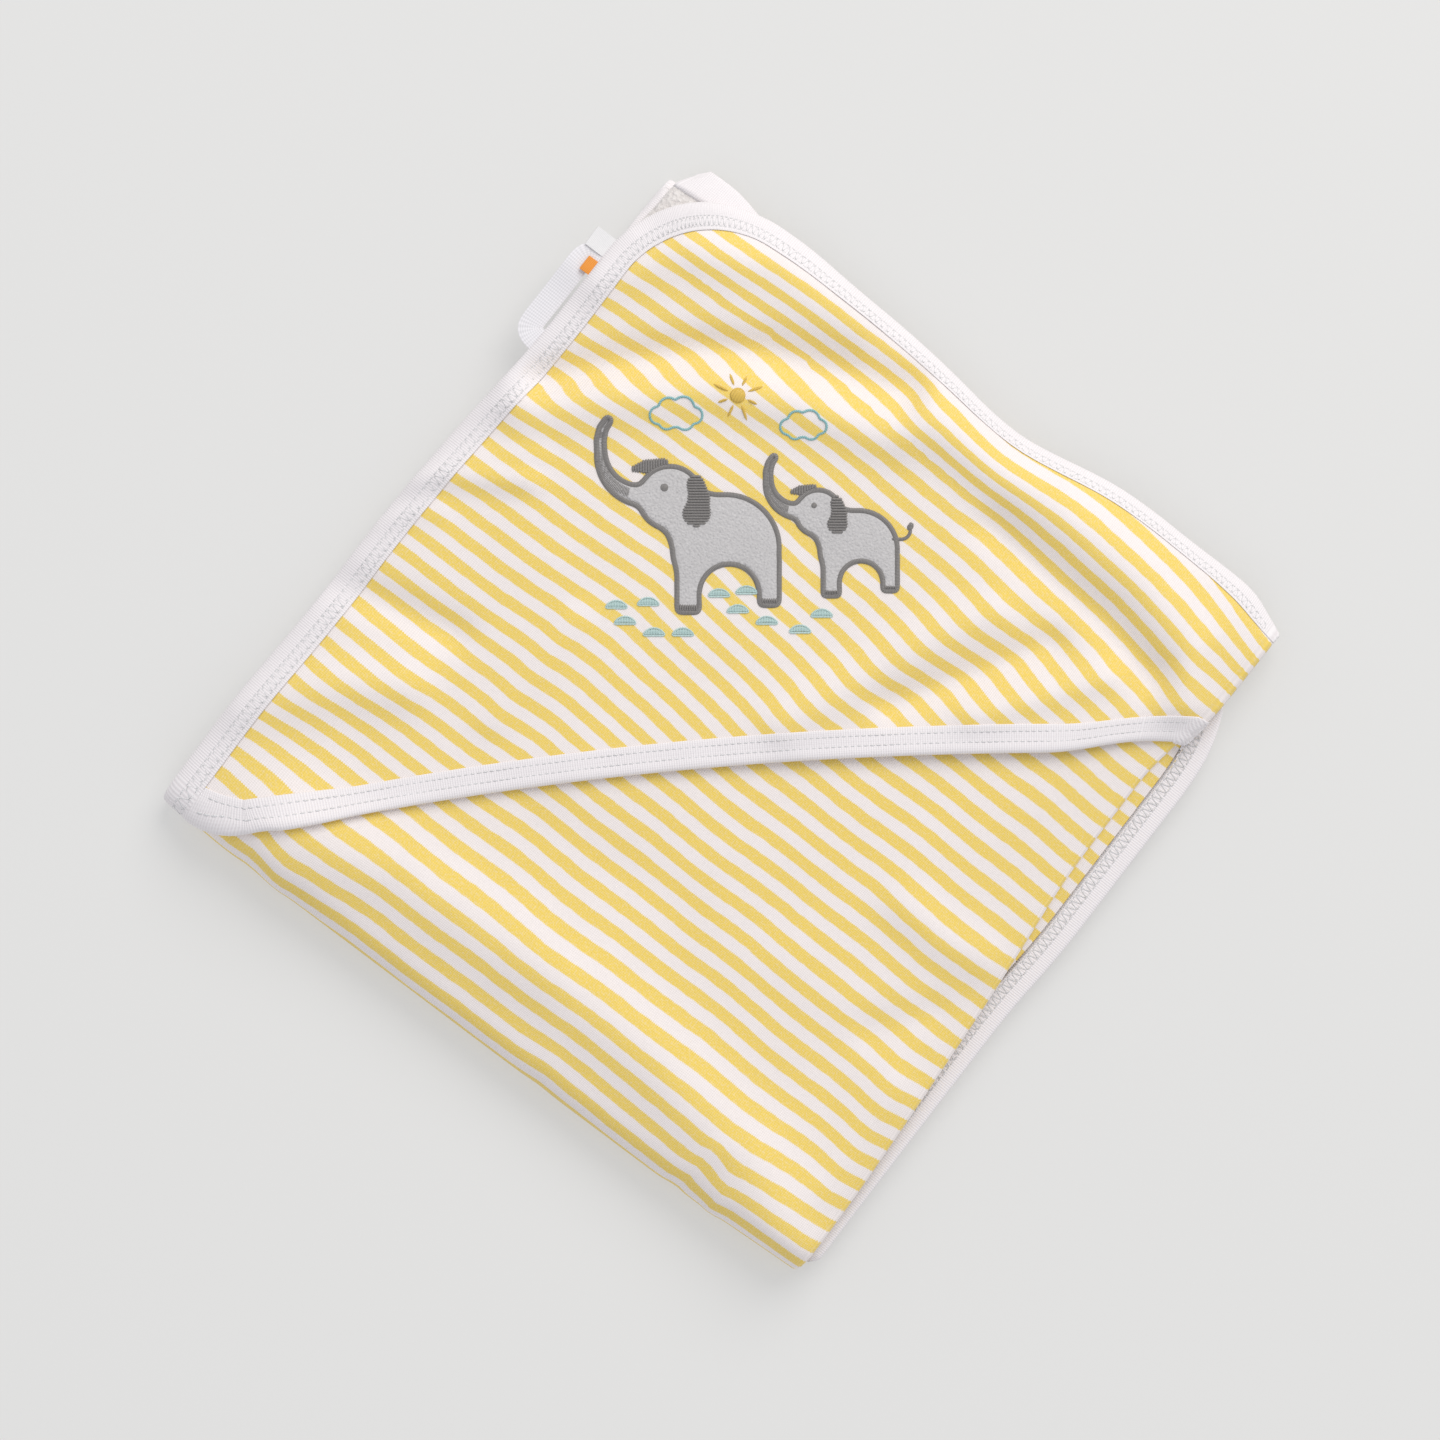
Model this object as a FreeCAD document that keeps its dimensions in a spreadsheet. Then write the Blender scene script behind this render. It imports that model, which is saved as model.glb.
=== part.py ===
"""Hooded baby towel, folded into a flat packet with its embroidered hood on top.

The towel is a square of two cloths, a striped jersey face and a white terry
lining, bound round its edge with rib tape. A triangular hood of the same two
cloths is sewn into one corner. The towel is folded in thirds across its width,
so that each stack holds three plies, and then twice along its length.

Stacks, from the table up: lower (face cloth down), inner (the last stretch,
turned back on the lower one) and upper (hood on top). The upper stack opens
about the long fold at -Y.

Frame: origin at the centre of the packet on the table, +Z up, +X along the
folded edge that the hood corner starts from, +Y from the long fold to the
bound edge that the hood is sewn to. The hood corner is at (-X, +Y).
"""

import FreeCAD, Part
import os

from FreeCAD import Rotation, Vector

SIZES = {
    # folded packet
    "panel_width": 266.0,
    "panel_length": 282.0,
    "inner_length": 226.0,
    "corner_radius": 35.0,
    "jersey_thickness": 0.6,
    "terry_thickness": 1.4,
    "stack_gap": 0.4,
    "under_edge_reach": 9.0,
    "lower_inset": 1.0,
    "turn_inset": 2.0,
    # bindings and seams
    "binding_width": 10.0,
    "binding_gap": 0.1,
    "thread_width": 0.6,
    "thread_height": 0.3,
    "hood_seam_first": 2.4,
    "hood_seam_second": 5.9,
    "edge_seam_first": 5.0,
    "edge_seam_second": 8.5,
    # hood opening: where its front edge leaves the packet, and how it sags
    "opening_past_fold": 9.0,
    "opening_below_corner": 50.5,
    "opening_sag": 5.5,
    # picture on the hood
    "picture_angle": 37.5,
    "picture_x": -22.0,
    "picture_y": 28.5,
    "applique_thickness": 0.4,
    "satin_height": 0.7,
    "satin_width": 2.4,
    "large_elephant": 1.0,
    "small_elephant": 0.73,
    "large_elephant_u": -6.0,
    "large_elephant_v": 0.0,
    "small_elephant_u": 40.5,
    "small_elephant_v": 6.0,
    "sun_radius": 2.6,
    "cloud_width": 18.0,
    "backing_length": 112.0,
    "backing_width": 90.0,
    "backing_thickness": 0.3,
    # loop, label and tab in the side seam
    "seam_clearance": 0.8,
    "tape_thickness": 0.8,
    "loop_centre_y": 70.0,
    "loop_span": 34.0,
    "loop_tape_width": 6.0,
    "label_centre_y": 101.5,
    "label_width": 8.5,
    "label_reach": 7.5,
    "tab_centre_y": 92.5,
    "tab_width": 7.0,
    "tab_reach": 6.0,
    "satin_tape_thickness": 0.25,
}

doc = FreeCAD.newDocument("hooded_towel")
sheet = doc.addObject("Spreadsheet::Sheet", "sizes")
for row, (alias, value) in enumerate(SIZES.items(), start=1):
    sheet.set(f"A{row}", alias)
    sheet.set(f"B{row}", str(value))
    sheet.setAlias(f"B{row}", alias)
doc.recompute()


def cell(alias):
    """Return the expression that reads one size from the sheet."""
    return f"sizes.{alias}"


# Expressions for the places that several pieces share.
JERSEY = cell("jersey_thickness")
TERRY = cell("terry_thickness")
PLY = f"({JERSEY} + {TERRY})"
GAP = cell("binding_gap")
BINDING = cell("binding_width")
LEFT = f"(-{cell('panel_width')} / 2)"
RIGHT = f"({cell('panel_width')} / 2)"
FRONT = f"(-{cell('panel_length')} / 2)"
BACK = f"({cell('panel_length')} / 2)"
LOWER_Z = "0"
INNER_Z = f"(3 * {PLY})"
UPPER_Z = f"(6 * {PLY} + {cell('stack_gap')})"
TOP_PLY_Z = f"({UPPER_Z} + 2 * {PLY})"
HOOD_Z = f"({UPPER_Z} + 3 * {PLY})"
HOOD_TOP_Z = f"({UPPER_Z} + 4 * {PLY})"
# the long fold at -Y turns the upper stack into the lower one
FOLD_RADIUS = f"(({UPPER_Z} + 3 * {PLY}) / 2)"
FOLD_Y = f"({FRONT} + {FOLD_RADIUS})"
# the short turn at +Y turns the lower stack into the inner one
TURN_RADIUS = f"(3 * {PLY})"
TURN_Y = f"({BACK} - {cell('turn_inset')} - {TURN_RADIUS})"
FAR_RIGHT = f"({RIGHT} + {cell('under_edge_reach')})"

SUBPARTS = []


def place(piece, x, y, z, rotation=None):
    """Bind a piece's position to expressions, with a fixed rotation."""
    if rotation is not None:
        piece.Placement.Rotation = rotation
    for axis, value in zip("xyz", (x, y, z)):
        piece.setExpression(f"Placement.Base.{axis}", str(value))
    return piece


def box(name, low, high):
    """Make a box between two corners given as expressions."""
    piece = doc.addObject("Part::Box", name)
    for side, start, end in zip(("Length", "Width", "Height"), low, high):
        piece.setExpression(side, f"({end}) - ({start})")
    return place(piece, *low)


def cylinder(name, centre, radius, length, rotation=None, angle=360.0):
    """Make a cylinder, or a wedge of one, from its base centre."""
    piece = doc.addObject("Part::Cylinder", name)
    piece.Angle = angle
    piece.setExpression("Radius", str(radius))
    piece.setExpression("Height", str(length))
    return place(piece, *centre, rotation)


def cut(name, base, tool):
    """Take one solid out of another."""
    piece = doc.addObject("Part::Cut", name)
    piece.Base = base
    piece.Tool = tool
    return piece


def fuse(name, shapes, refine=True):
    """Join solids into one."""
    piece = doc.addObject("Part::MultiFuse", name)
    piece.Shapes = shapes
    piece.Refine = refine
    return piece


def common(name, first, second):
    """Keep what two solids share."""
    piece = doc.addObject("Part::Common", name)
    piece.Base = first
    piece.Tool = second
    return piece


def sub_part(piece, label):
    """Mark a finished solid as a sub-part and name its file."""
    piece.Label = label
    SUBPARTS.append(piece)
    return piece


def part_ring(name, centre, inner, outer, length, rotation=None, angle=360.0):
    """Make a tube or a wedge of one; an inner radius of 0 leaves it solid."""
    body = cylinder(f"{name}_outer", centre, outer, length, rotation, angle)
    if str(inner) == "0":
        return body
    core = cylinder(f"{name}_core", centre, inner, length, rotation, angle)
    return cut(name, body, core)


ALONG_Y = Rotation(Vector(1, 0, 0), -90)
ROUND_RIGHT = ALONG_Y * Rotation(Vector(0, 0, 1), -90)
ROUND_LEFT = ALONG_Y * Rotation(Vector(0, 0, 1), 90)
ALONG_X = Rotation(Vector(0, 1, 0), 90)


# ---- plies folded across the width ---------------------------------------

class Stack:
    """Three plies in thirds: the sheet runs edge ply, middle ply, under ply."""

    def __init__(self, name, base_z, face_down, left, right, edge, under_edge):
        self.name = name
        self.base_z = base_z
        self.face_down = face_down
        self.left = left
        self.right = right
        self.edge = edge
        self.under_edge = under_edge

    def ply_range(self, index, near, far):
        """Heights of a layer that lies near..far below the ply's jersey face."""
        bottom = f"({self.base_z} + {index} * {PLY})"
        jersey_on_top = (index % 2 == 0) != self.face_down
        if jersey_on_top:
            return f"({bottom} + {PLY} - {far})", f"({bottom} + {PLY} - {near})"
        return f"({bottom} + {near})", f"({bottom} + {far})"

    def fold_height(self, between):
        """Height of the face between ply `between` and the one above it."""
        return f"({self.base_z} + {between + 1} * {PLY})"

    def layer(self, label, near, far, start_y, end_y, trim):
        """Run one layer of the cloth through the three plies and two folds.

        near and far are the layer's depths below the jersey face, and trim is
        how far the layer stops short of the two free edges.
        """
        name = label
        turn_right = f"({self.right} - {PLY})"
        turn_left = f"({self.left} + {PLY})"
        order = (0, 1, 2) if self.face_down else (2, 1, 0)
        spans = (
            (f"({self.edge} + {trim})", turn_right),
            (turn_left, turn_right),
            (turn_left, f"({self.under_edge} - {trim})"),
        )
        shapes = []
        for index, (x_low, x_high) in zip(order, spans):
            z_low, z_high = self.ply_range(index, near, far)
            shapes.append(box(f"{name}_ply", (x_low, start_y, z_low), (x_high, end_y, z_high)))
        length = f"({end_y} - {start_y})"
        right_z = self.fold_height(min(order[0], order[1]))
        left_z = self.fold_height(min(order[1], order[2]))
        inner = f"({PLY} - {far})" if far != PLY else "0"
        shapes.append(part_ring(f"{name}_right_turn", (turn_right, start_y, right_z),
                                inner, f"({PLY} - {near})", length, ROUND_RIGHT, 180.0))
        shapes.append(part_ring(f"{name}_left_turn", (turn_left, start_y, left_z),
                                near, far, length, ROUND_LEFT, 180.0))
        return fuse(f"{name}_sheet", shapes)


INSET = cell("lower_inset")
upper = Stack("upper", UPPER_Z, False, f"({LEFT} + {INSET})", RIGHT, LEFT, FAR_RIGHT)
inner = Stack("inner", INNER_Z, False, f"({LEFT} + {INSET})", f"({RIGHT} - {INSET})",
              f"({LEFT} + {INSET})", f"({RIGHT} - {INSET})")
lower = Stack("lower", LOWER_Z, True, f"({LEFT} + {INSET})", f"({RIGHT} - {INSET})",
              f"({LEFT} + {INSET})", f"({RIGHT} - {INSET})")

INNER_START = f"({TURN_Y} - {cell('inner_length')})"
LAYERS = {"shell": ("0", JERSEY), "lining": (JERSEY, PLY)}
BOUND = (GAP, f"({PLY} - {GAP})")

# the corner of the top ply and the hood is cut to a radius
ROUND_CENTRE = (f"({LEFT} + {cell('corner_radius')})", f"({BACK} - {cell('corner_radius')})")
corner_square = box("corner_square", (LEFT, ROUND_CENTRE[1], TOP_PLY_Z),
                    (ROUND_CENTRE[0], BACK, f"({HOOD_TOP_Z} + {PLY})"))
corner_disc = cylinder("corner_disc", (*ROUND_CENTRE, TOP_PLY_Z),
                       f"({cell('corner_radius')} - {BINDING})", f"(3 * {PLY})")
corner_waste = cut("corner_waste", corner_square, corner_disc)

for kind, (near, far) in LAYERS.items():
    sheet_in_upper = upper.layer(f"upper_{kind}", near, far, FOLD_Y, f"({BACK} - {BINDING})", BINDING)
    sub_part(cut(f"upper_{kind}_trimmed", sheet_in_upper, corner_waste), f"upper_{kind}")
    sub_part(lower.layer(f"lower_{kind}", near, far, FOLD_Y, TURN_Y, BINDING), f"lower_{kind}")
    sub_part(inner.layer(f"inner_{kind}", near, far, f"({INNER_START} + {BINDING})", TURN_Y, BINDING),
             f"inner_{kind}")


# ---- folds across the length ---------------------------------------------

def length_fold(label, kind, centre_y, centre_z, outer_radius, rotation, x_low, x_high):
    """Nest one layer of the three plies round a fold that runs along X."""
    shapes = []
    for ply in range(3):
        rim = f"({outer_radius} - {ply} * {PLY})"
        jersey_outside = ply % 2 == 0
        near, far = LAYERS[kind]
        if jersey_outside:
            ring_outer, ring_inner = f"({rim} - {near})", f"({rim} - {far})"
        else:
            ring_outer, ring_inner = f"({rim} - {PLY} + {far})", f"({rim} - {PLY} + {near})"
        touches_axis = outer_radius == TURN_RADIUS and ply == 2 and kind == "lining"
        shapes.append(part_ring(f"{label}_ply", (x_low, centre_y, centre_z),
                                "0" if touches_axis else ring_inner, ring_outer,
                                f"({x_high} - {x_low})", rotation, 180.0))
    return fuse(label, shapes)


TO_FRONT = ALONG_X * Rotation(Vector(0, 0, 1), 180)
TO_BACK = ALONG_X
for kind in LAYERS:
    fold = length_fold(f"fold_{kind}_rings", kind, FOLD_Y, FOLD_RADIUS, FOLD_RADIUS, TO_FRONT,
                       f"({LEFT} + {INSET})", f"({RIGHT} - {INSET})")
    sub_part(fold, f"fold_{kind}")
    turn = length_fold(f"turn_{kind}_rings", kind, TURN_Y, TURN_RADIUS, TURN_RADIUS, TO_BACK,
                       f"({LEFT} + {INSET})", f"({RIGHT} - {INSET})")
    sub_part(turn, f"turn_{kind}")


# ---- hood ------------------------------------------------------------------

HOOD_TURN = f"({RIGHT} - {PLY})"
RISE = f"({cell('panel_length')} + {cell('opening_past_fold')} - {cell('opening_below_corner')})"
RUN = cell("panel_width")
CHORD = f"sqrt({RUN}^2 + {RISE}^2)"
SAG = cell("opening_sag")
OPENING_RADIUS = f"(({CHORD}^2 / 4 + {SAG}^2) / (2 * {SAG}))"
OPENING_CENTRE = (
    f"(({OPENING_RADIUS} - {SAG}) * {RISE} / {CHORD})",
    f"(-({cell('opening_past_fold')} + {cell('opening_below_corner')}) / 2"
    f" - ({OPENING_RADIUS} - {SAG}) * {RUN} / {CHORD})",
)


def hood_plate(name, z_low, z_high, start_x, start_y, end_y):
    """Lay a plate on the top ply and bring it a quarter turn round the right fold."""
    flat = box(f"{name}_flat", (start_x, start_y, z_low), (HOOD_TURN, end_y, z_high))
    edge = part_ring(f"{name}_edge", (HOOD_TURN, start_y, f"({HOOD_Z} - {PLY})"),
                     f"({z_low} - {HOOD_Z} + {PLY})", f"({z_high} - {HOOD_Z} + {PLY})",
                     f"({end_y} - {start_y})", ROUND_RIGHT, 90.0)
    return fuse(f"{name}_plate", [flat, edge])


def opening_disc(name, offset, z_low=HOOD_Z, z_high=f"({HOOD_TOP_Z} + {PLY})"):
    """Disc on the towel's side of the hood opening, grown by an offset."""
    base = f"({z_low} - 6 * {PLY})"
    return cylinder(name, (*OPENING_CENTRE, base), f"({OPENING_RADIUS} + {offset})",
                    f"({z_high} - {base})")


open_side = opening_disc("open_side", BINDING)
open_front = opening_disc("open_front", "0")
HOOD_LAYERS = {
    "shell": (f"({HOOD_TOP_Z} - {JERSEY})", HOOD_TOP_Z),
    "lining": (HOOD_Z, f"({HOOD_TOP_Z} - {JERSEY})"),
}
hood_cloth = {}
for kind, (z_low, z_high) in HOOD_LAYERS.items():
    plate = hood_plate(f"hood_{kind}", z_low, z_high, f"({LEFT} + {BINDING})", FOLD_Y,
                       f"({BACK} - {BINDING})")
    opened = cut(f"hood_{kind}_opened", plate, open_side)
    hood_cloth[kind] = cut(f"hood_{kind}_trimmed", opened, corner_waste)
sub_part(hood_cloth["shell"], "hood_shell")

band_plate = hood_plate("hood_band", f"({HOOD_Z} + {GAP})", f"({HOOD_TOP_Z} - {GAP})",
                        f"({LEFT} + {BINDING})", FOLD_Y, f"({BACK} - {BINDING})")
band_inside = common("hood_band_inside", band_plate, open_side)
sub_part(cut("hood_band_opened", band_inside, open_front), "hood_binding")


# ---- bindings round the edge ------------------------------------------------

EDGE_LOW = f"({TOP_PLY_Z} + {GAP})"
EDGE_HIGH = f"({HOOD_TOP_Z} - {GAP})"
side_bar = box("side_bar", (LEFT, FOLD_Y, EDGE_LOW), (f"({LEFT} + {BINDING})", ROUND_CENTRE[1], EDGE_HIGH))
TO_HOOD_CORNER = Rotation(Vector(0, 0, 1), 90)
side_round = part_ring("side_round", (*ROUND_CENTRE, EDGE_LOW),
                       f"({cell('corner_radius')} - {BINDING})", cell("corner_radius"),
                       f"({EDGE_HIGH} - {EDGE_LOW})", TO_HOOD_CORNER, 90.0)
sub_part(fuse("side_binding_tape", [side_bar, side_round]), "side_binding")

END_START = f"({BACK} - {BINDING})"
end_plies = upper.layer("end_binding", *BOUND, END_START, BACK, f"({ROUND_CENTRE[0]} - {LEFT})")
end_left = box("end_left", (f"({LEFT} + {INSET} + {PLY})", END_START, f"({UPPER_Z} + {GAP})"),
               (FAR_RIGHT, BACK, f"({UPPER_Z} + {PLY} - {GAP})"))
end_hood = hood_plate("end_hood", f"({TOP_PLY_Z} + {PLY} - {GAP})", EDGE_HIGH, ROUND_CENTRE[0],
                      END_START, BACK)
sub_part(fuse("end_binding_tape", [end_plies, end_left, end_hood]), "end_binding")


def edge_bars(label, stack, start_y, end_y, indices):
    """Bind the stack's free edges: the edge ply's on the left, the under ply's on the right."""
    bars = []
    for index, x_low in indices:
        z_low, z_high = stack.ply_range(index, *BOUND)
        bars.append(box(f"{label}_bar", (x_low, start_y, z_low), (f"({x_low} + {BINDING})", end_y, z_high)))
    return bars


sub_part(edge_bars("under_binding", upper, FOLD_Y, END_START, [(0, f"({FAR_RIGHT} - {BINDING})")])[0],
         "under_binding")
LEFT_BAR = f"({LEFT} + {INSET})"
RIGHT_BAR = f"({RIGHT} - {INSET} - {BINDING})"
lower_bars = edge_bars("lower_binding", lower, FOLD_Y, TURN_Y, [(0, LEFT_BAR), (2, RIGHT_BAR)])
sub_part(fuse("lower_binding_tape", lower_bars), "lower_binding")
inner_bars = edge_bars("inner_binding", inner, f"({INNER_START} + {BINDING})", TURN_Y,
                       [(2, LEFT_BAR), (0, RIGHT_BAR)])
inner_end = inner.layer("inner_end", *BOUND, INNER_START, f"({INNER_START} + {BINDING})", "0")
sub_part(fuse("inner_binding_tape", [*inner_bars, inner_end]), "inner_binding")


# ---- seams --------------------------------------------------------------------

THREAD = cell("thread_width")
THREAD_TOP = f"({EDGE_HIGH} + {cell('thread_height')})"
seam_rows = []
for seam in ("hood_seam_first", "hood_seam_second"):
    row_name = f"{seam}_row"
    strip = box(f"{row_name}_strip", (f"({LEFT} + {BINDING})", FOLD_Y, EDGE_HIGH),
                (HOOD_TURN, f"({BACK} - {BINDING})", THREAD_TOP))
    outer_disc = opening_disc(f"{row_name}_far", f"({BINDING} - {cell(seam)})")
    inner_disc = opening_disc(f"{row_name}_near", f"({BINDING} - {cell(seam)} - {THREAD})")
    seam_rows.append(cut(row_name, common(f"{row_name}_inside", strip, outer_disc), inner_disc))
sub_part(fuse("hood_seam_rows", seam_rows, refine=False), "hood_stitches")

edge_rows = []
for seam in ("edge_seam_first", "edge_seam_second"):
    inset = cell(seam)
    row_name = f"{seam}_row"
    along_side = box(f"{row_name}_side", (f"({LEFT} + {inset})", FOLD_Y, EDGE_HIGH),
                     (f"({LEFT} + {inset} + {THREAD})", ROUND_CENTRE[1], THREAD_TOP))
    along_round = part_ring(f"{row_name}_round", (*ROUND_CENTRE, EDGE_HIGH),
                            f"({cell('corner_radius')} - {inset} - {THREAD})",
                            f"({cell('corner_radius')} - {inset})",
                            cell("thread_height"), TO_HOOD_CORNER, 90.0)
    along_end = box(f"{row_name}_end", (ROUND_CENTRE[0], f"({BACK} - {inset} - {THREAD})", EDGE_HIGH),
                    (HOOD_TURN, f"({BACK} - {inset})", THREAD_TOP))
    edge_rows.append(fuse(row_name, [along_side, along_round, along_end]))
sub_part(fuse("edge_seam_rows", edge_rows, refine=False), "edge_stitches")


# ---- picture on the hood ---------------------------------------------------------

PICTURE_TURN = Rotation(Vector(0, 0, 1), SIZES["picture_angle"])
ANGLE = cell("picture_angle")


def picture_point(across, up):
    """Turn a point of the picture, across and up in millimetres, into the part's frame."""
    x = f"({cell('picture_x')} + ({across}) * cos({ANGLE} * 1deg) - ({up}) * sin({ANGLE} * 1deg))"
    y = f"({cell('picture_y')} + ({across}) * sin({ANGLE} * 1deg) + ({up}) * cos({ANGLE} * 1deg))"
    return x, y


def picture_disc(name, across, up, radius, z_low, height):
    """Round patch of the picture."""
    return cylinder(name, (*picture_point(across, up), z_low), radius, height)


def picture_bar(name, across, up, width, depth, z_low, height):
    """Straight-sided patch of the picture, from its lower left corner."""
    piece = doc.addObject("Part::Box", name)
    for side, size in zip(("Length", "Width", "Height"), (width, depth, height)):
        piece.setExpression(side, str(size))
    return place(piece, *picture_point(across, up), z_low, PICTURE_TURN)


def picture_ring(name, across, up, inner_radius, outer_radius, start, sweep, z_low, height):
    """Arc-shaped patch of the picture, from an angle counted from its right."""
    turn = Rotation(Vector(0, 0, 1), SIZES["picture_angle"] + start)
    centre = (*picture_point(across, up), z_low)
    return part_ring(name, centre, inner_radius, outer_radius, height, turn, sweep)


class Elephant:
    """A plain round elephant in profile, its trunk raised, facing the picture's left."""

    BODY = (2.2, 22.7, 18.8)
    NECK = (-9.0, 32.5, 10.5)
    HEAD = (-17.5, 40.5, 11.0)
    TRUNK_CENTRE = (-27.0, 56.0)
    TRUNK_OUTER = 17.5
    TRUNK_INNER = 12.0
    TRUNK_TIP_HEIGHT = 9.5
    FRONT_LEG = (-15.0, 8.0, 0.0)
    BACK_LEG = (14.0, 7.0, 2.5)
    LEG_TOP = 20.0
    BELLY_ARCH = (3.4, 6.5, 10.6)
    EAR_TOP = (-8.0, 43.5, 4.6)
    EAR_LOW = (-8.4, 36.5, 5.4)
    EYE = (-19.5, 44.0, 1.4)
    FAR_EAR = (-21.5, 47.5, 7.6)

    def __init__(self, name, size, across, up):
        self.name = name
        self.size = cell(size)
        self.across = cell(across)
        self.up = cell(up)

    def at(self, across, up):
        """Place of a point of the animal, from the ground between its feet."""
        return f"({self.across} + {self.size} * {across})", f"({self.up} + {self.size} * {up})"

    def scaled(self, length, grow="0"):
        """A length of the animal, grown by a border."""
        return f"({self.size} * {length} + {grow})"

    def outline(self, label, grow, z_low, height):
        """Side view of the animal as one solid, grown all round by a border."""
        shapes = []
        for piece, (across, up, radius) in (("body", self.BODY), ("neck", self.NECK), ("head", self.HEAD)):
            shapes.append(picture_disc(f"{label}_{piece}", *self.at(across, up),
                                       self.scaled(radius, grow), z_low, height))
        for piece, (across, width, up) in (("front_leg", self.FRONT_LEG), ("back_leg", self.BACK_LEG)):
            low = self.at(across, up)
            shapes.append(picture_bar(f"{label}_{piece}", f"({low[0]} - {grow})", f"({low[1]} - {grow})",
                                      self.scaled(width, f"2 * {grow}"),
                                      self.scaled(self.LEG_TOP - up, grow), z_low, height))
        trunk = self.at(*self.TRUNK_CENTRE)
        shapes.append(picture_ring(f"{label}_trunk", *trunk, self.scaled(self.TRUNK_INNER, f"-{grow}"),
                                   self.scaled(self.TRUNK_OUTER, grow), 180, 115, z_low, height))
        tip = self.at(self.TRUNK_CENTRE[0] - self.TRUNK_OUTER, self.TRUNK_CENTRE[1])
        tip_width = self.TRUNK_OUTER - self.TRUNK_INNER
        shapes.append(picture_bar(f"{label}_tip", f"({tip[0]} - {grow})", tip[1],
                                  self.scaled(tip_width, f"2 * {grow}"),
                                  self.scaled(self.TRUNK_TIP_HEIGHT), z_low, height))
        end = self.at(self.TRUNK_CENTRE[0] - self.TRUNK_OUTER + tip_width / 2,
                      self.TRUNK_CENTRE[1] + self.TRUNK_TIP_HEIGHT)
        shapes.append(picture_disc(f"{label}_tip_end", *end, self.scaled(tip_width / 2, grow), z_low, height))
        whole = fuse(f"{label}_whole", shapes)
        arch_across, arch_up, arch_radius = self.BELLY_ARCH
        arch_centre = self.at(arch_across, arch_up)
        arch_size = self.scaled(arch_radius, f"-{grow}")
        arch = picture_disc(f"{label}_arch", *arch_centre, arch_size, z_low, height)
        gap_low = self.at(arch_across - arch_radius, arch_up - 3 * arch_radius)
        gap = picture_bar(f"{label}_gap", f"({gap_low[0]} + {grow})", gap_low[1],
                          self.scaled(2 * arch_radius, f"-2 * {grow}"),
                          self.scaled(3 * arch_radius), z_low, height)
        space = fuse(f"{label}_space", [arch, gap])
        return cut(f"{label}_outline", whole, space)

    def build(self):
        """Make the animal's fabric, its satin border, ears and eye; return its whole side view."""
        cloth_height = cell("applique_thickness")
        satin_height = cell("satin_height")
        half_border = f"({cell('satin_width')} / 2)"
        fabric = self.outline(f"{self.name}_fabric", f"(-{half_border})", HOOD_TOP_Z, cloth_height)
        sub_part(fabric, f"{self.name}_fabric")
        inside = self.outline(f"{self.name}_inside", f"(-{half_border})", HOOD_TOP_Z, satin_height)
        outside = self.outline(f"{self.name}_outside", half_border, HOOD_TOP_Z, satin_height)
        on_cloth = f"({HOOD_TOP_Z} + {cloth_height})"
        ear_height = f"({satin_height} + {cell('thread_height')} - {cloth_height})"
        ear_parts = [
            picture_disc(f"{self.name}_ear_top", *self.at(*self.EAR_TOP[:2]), self.scaled(self.EAR_TOP[2]),
                         on_cloth, ear_height),
            picture_disc(f"{self.name}_ear_low", *self.at(*self.EAR_LOW[:2]), self.scaled(self.EAR_LOW[2]),
                         on_cloth, ear_height),
        ]
        ear = sub_part(fuse(f"{self.name}_ear_patch", ear_parts), f"{self.name}_near_ear")
        border = cut(f"{self.name}_border", outside, inside)
        sub_part(cut(f"{self.name}_border_under_ear", border, ear), f"{self.name}_outline")
        sub_part(picture_disc(f"{self.name}_eye_patch", *self.at(*self.EYE[:2]), self.scaled(self.EYE[2]),
                              on_cloth, cell("thread_height")), f"{self.name}_eye")
        far_ear = picture_disc(f"{self.name}_far_disc", *self.at(*self.FAR_EAR[:2]),
                               self.scaled(self.FAR_EAR[2]), HOOD_TOP_Z, satin_height)
        sub_part(cut(f"{self.name}_far_patch", far_ear, outside), f"{self.name}_far_ear")
        return outside


large = Elephant("elephant_large", "large_elephant", "large_elephant_u", "large_elephant_v")
small = Elephant("elephant_small", "small_elephant", "small_elephant_u", "small_elephant_v")
large_outside = large.build()
small_outside = small.build()
tail_ring = picture_ring("small_tail_ring", *small.at(27.0, 33.5), small.scaled(5.2), small.scaled(7.4),
                         -90, 90, HOOD_TOP_Z, cell("satin_height"))
tail_root = picture_bar("small_tail_root", *small.at(18.0, 26.1), small.scaled(9.2), small.scaled(2.2),
                        HOOD_TOP_Z, cell("satin_height"))
tail = fuse("small_tail_whole", [tail_ring, tail_root])
sub_part(cut("small_tail_trimmed", tail, small_outside), "elephant_small_tail")

# sun: a disc and eight rays
THREAD_LOW = HOOD_TOP_Z
SUN_AT = (0.0, 75.5)
SUN = cell("sun_radius")
sun_parts = [picture_disc("sun_disc", *SUN_AT, SUN, THREAD_LOW, cell("satin_height"))]
for ray in range(8):
    spoke = 45 * ray + 20
    turn = Rotation(Vector(0, 0, 1), SIZES["picture_angle"] + spoke)
    bar = doc.addObject("Part::Box", "sun_ray")
    bar.setExpression("Length", f"{SUN} * 1.6")
    bar.setExpression("Width", THREAD)
    bar.setExpression("Height", cell("satin_height"))
    start = f"({SUN} * 1.5 * cos({spoke} * 1deg))", f"({SUN} * 1.5 * sin({spoke} * 1deg))"
    sun_parts.append(place(bar, *picture_point(f"{SUN_AT[0]} + {start[0]}", f"{SUN_AT[1]} + {start[1]}"),
                           THREAD_LOW, turn))
sub_part(fuse("sun_and_rays", sun_parts, refine=False), "sun")


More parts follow.
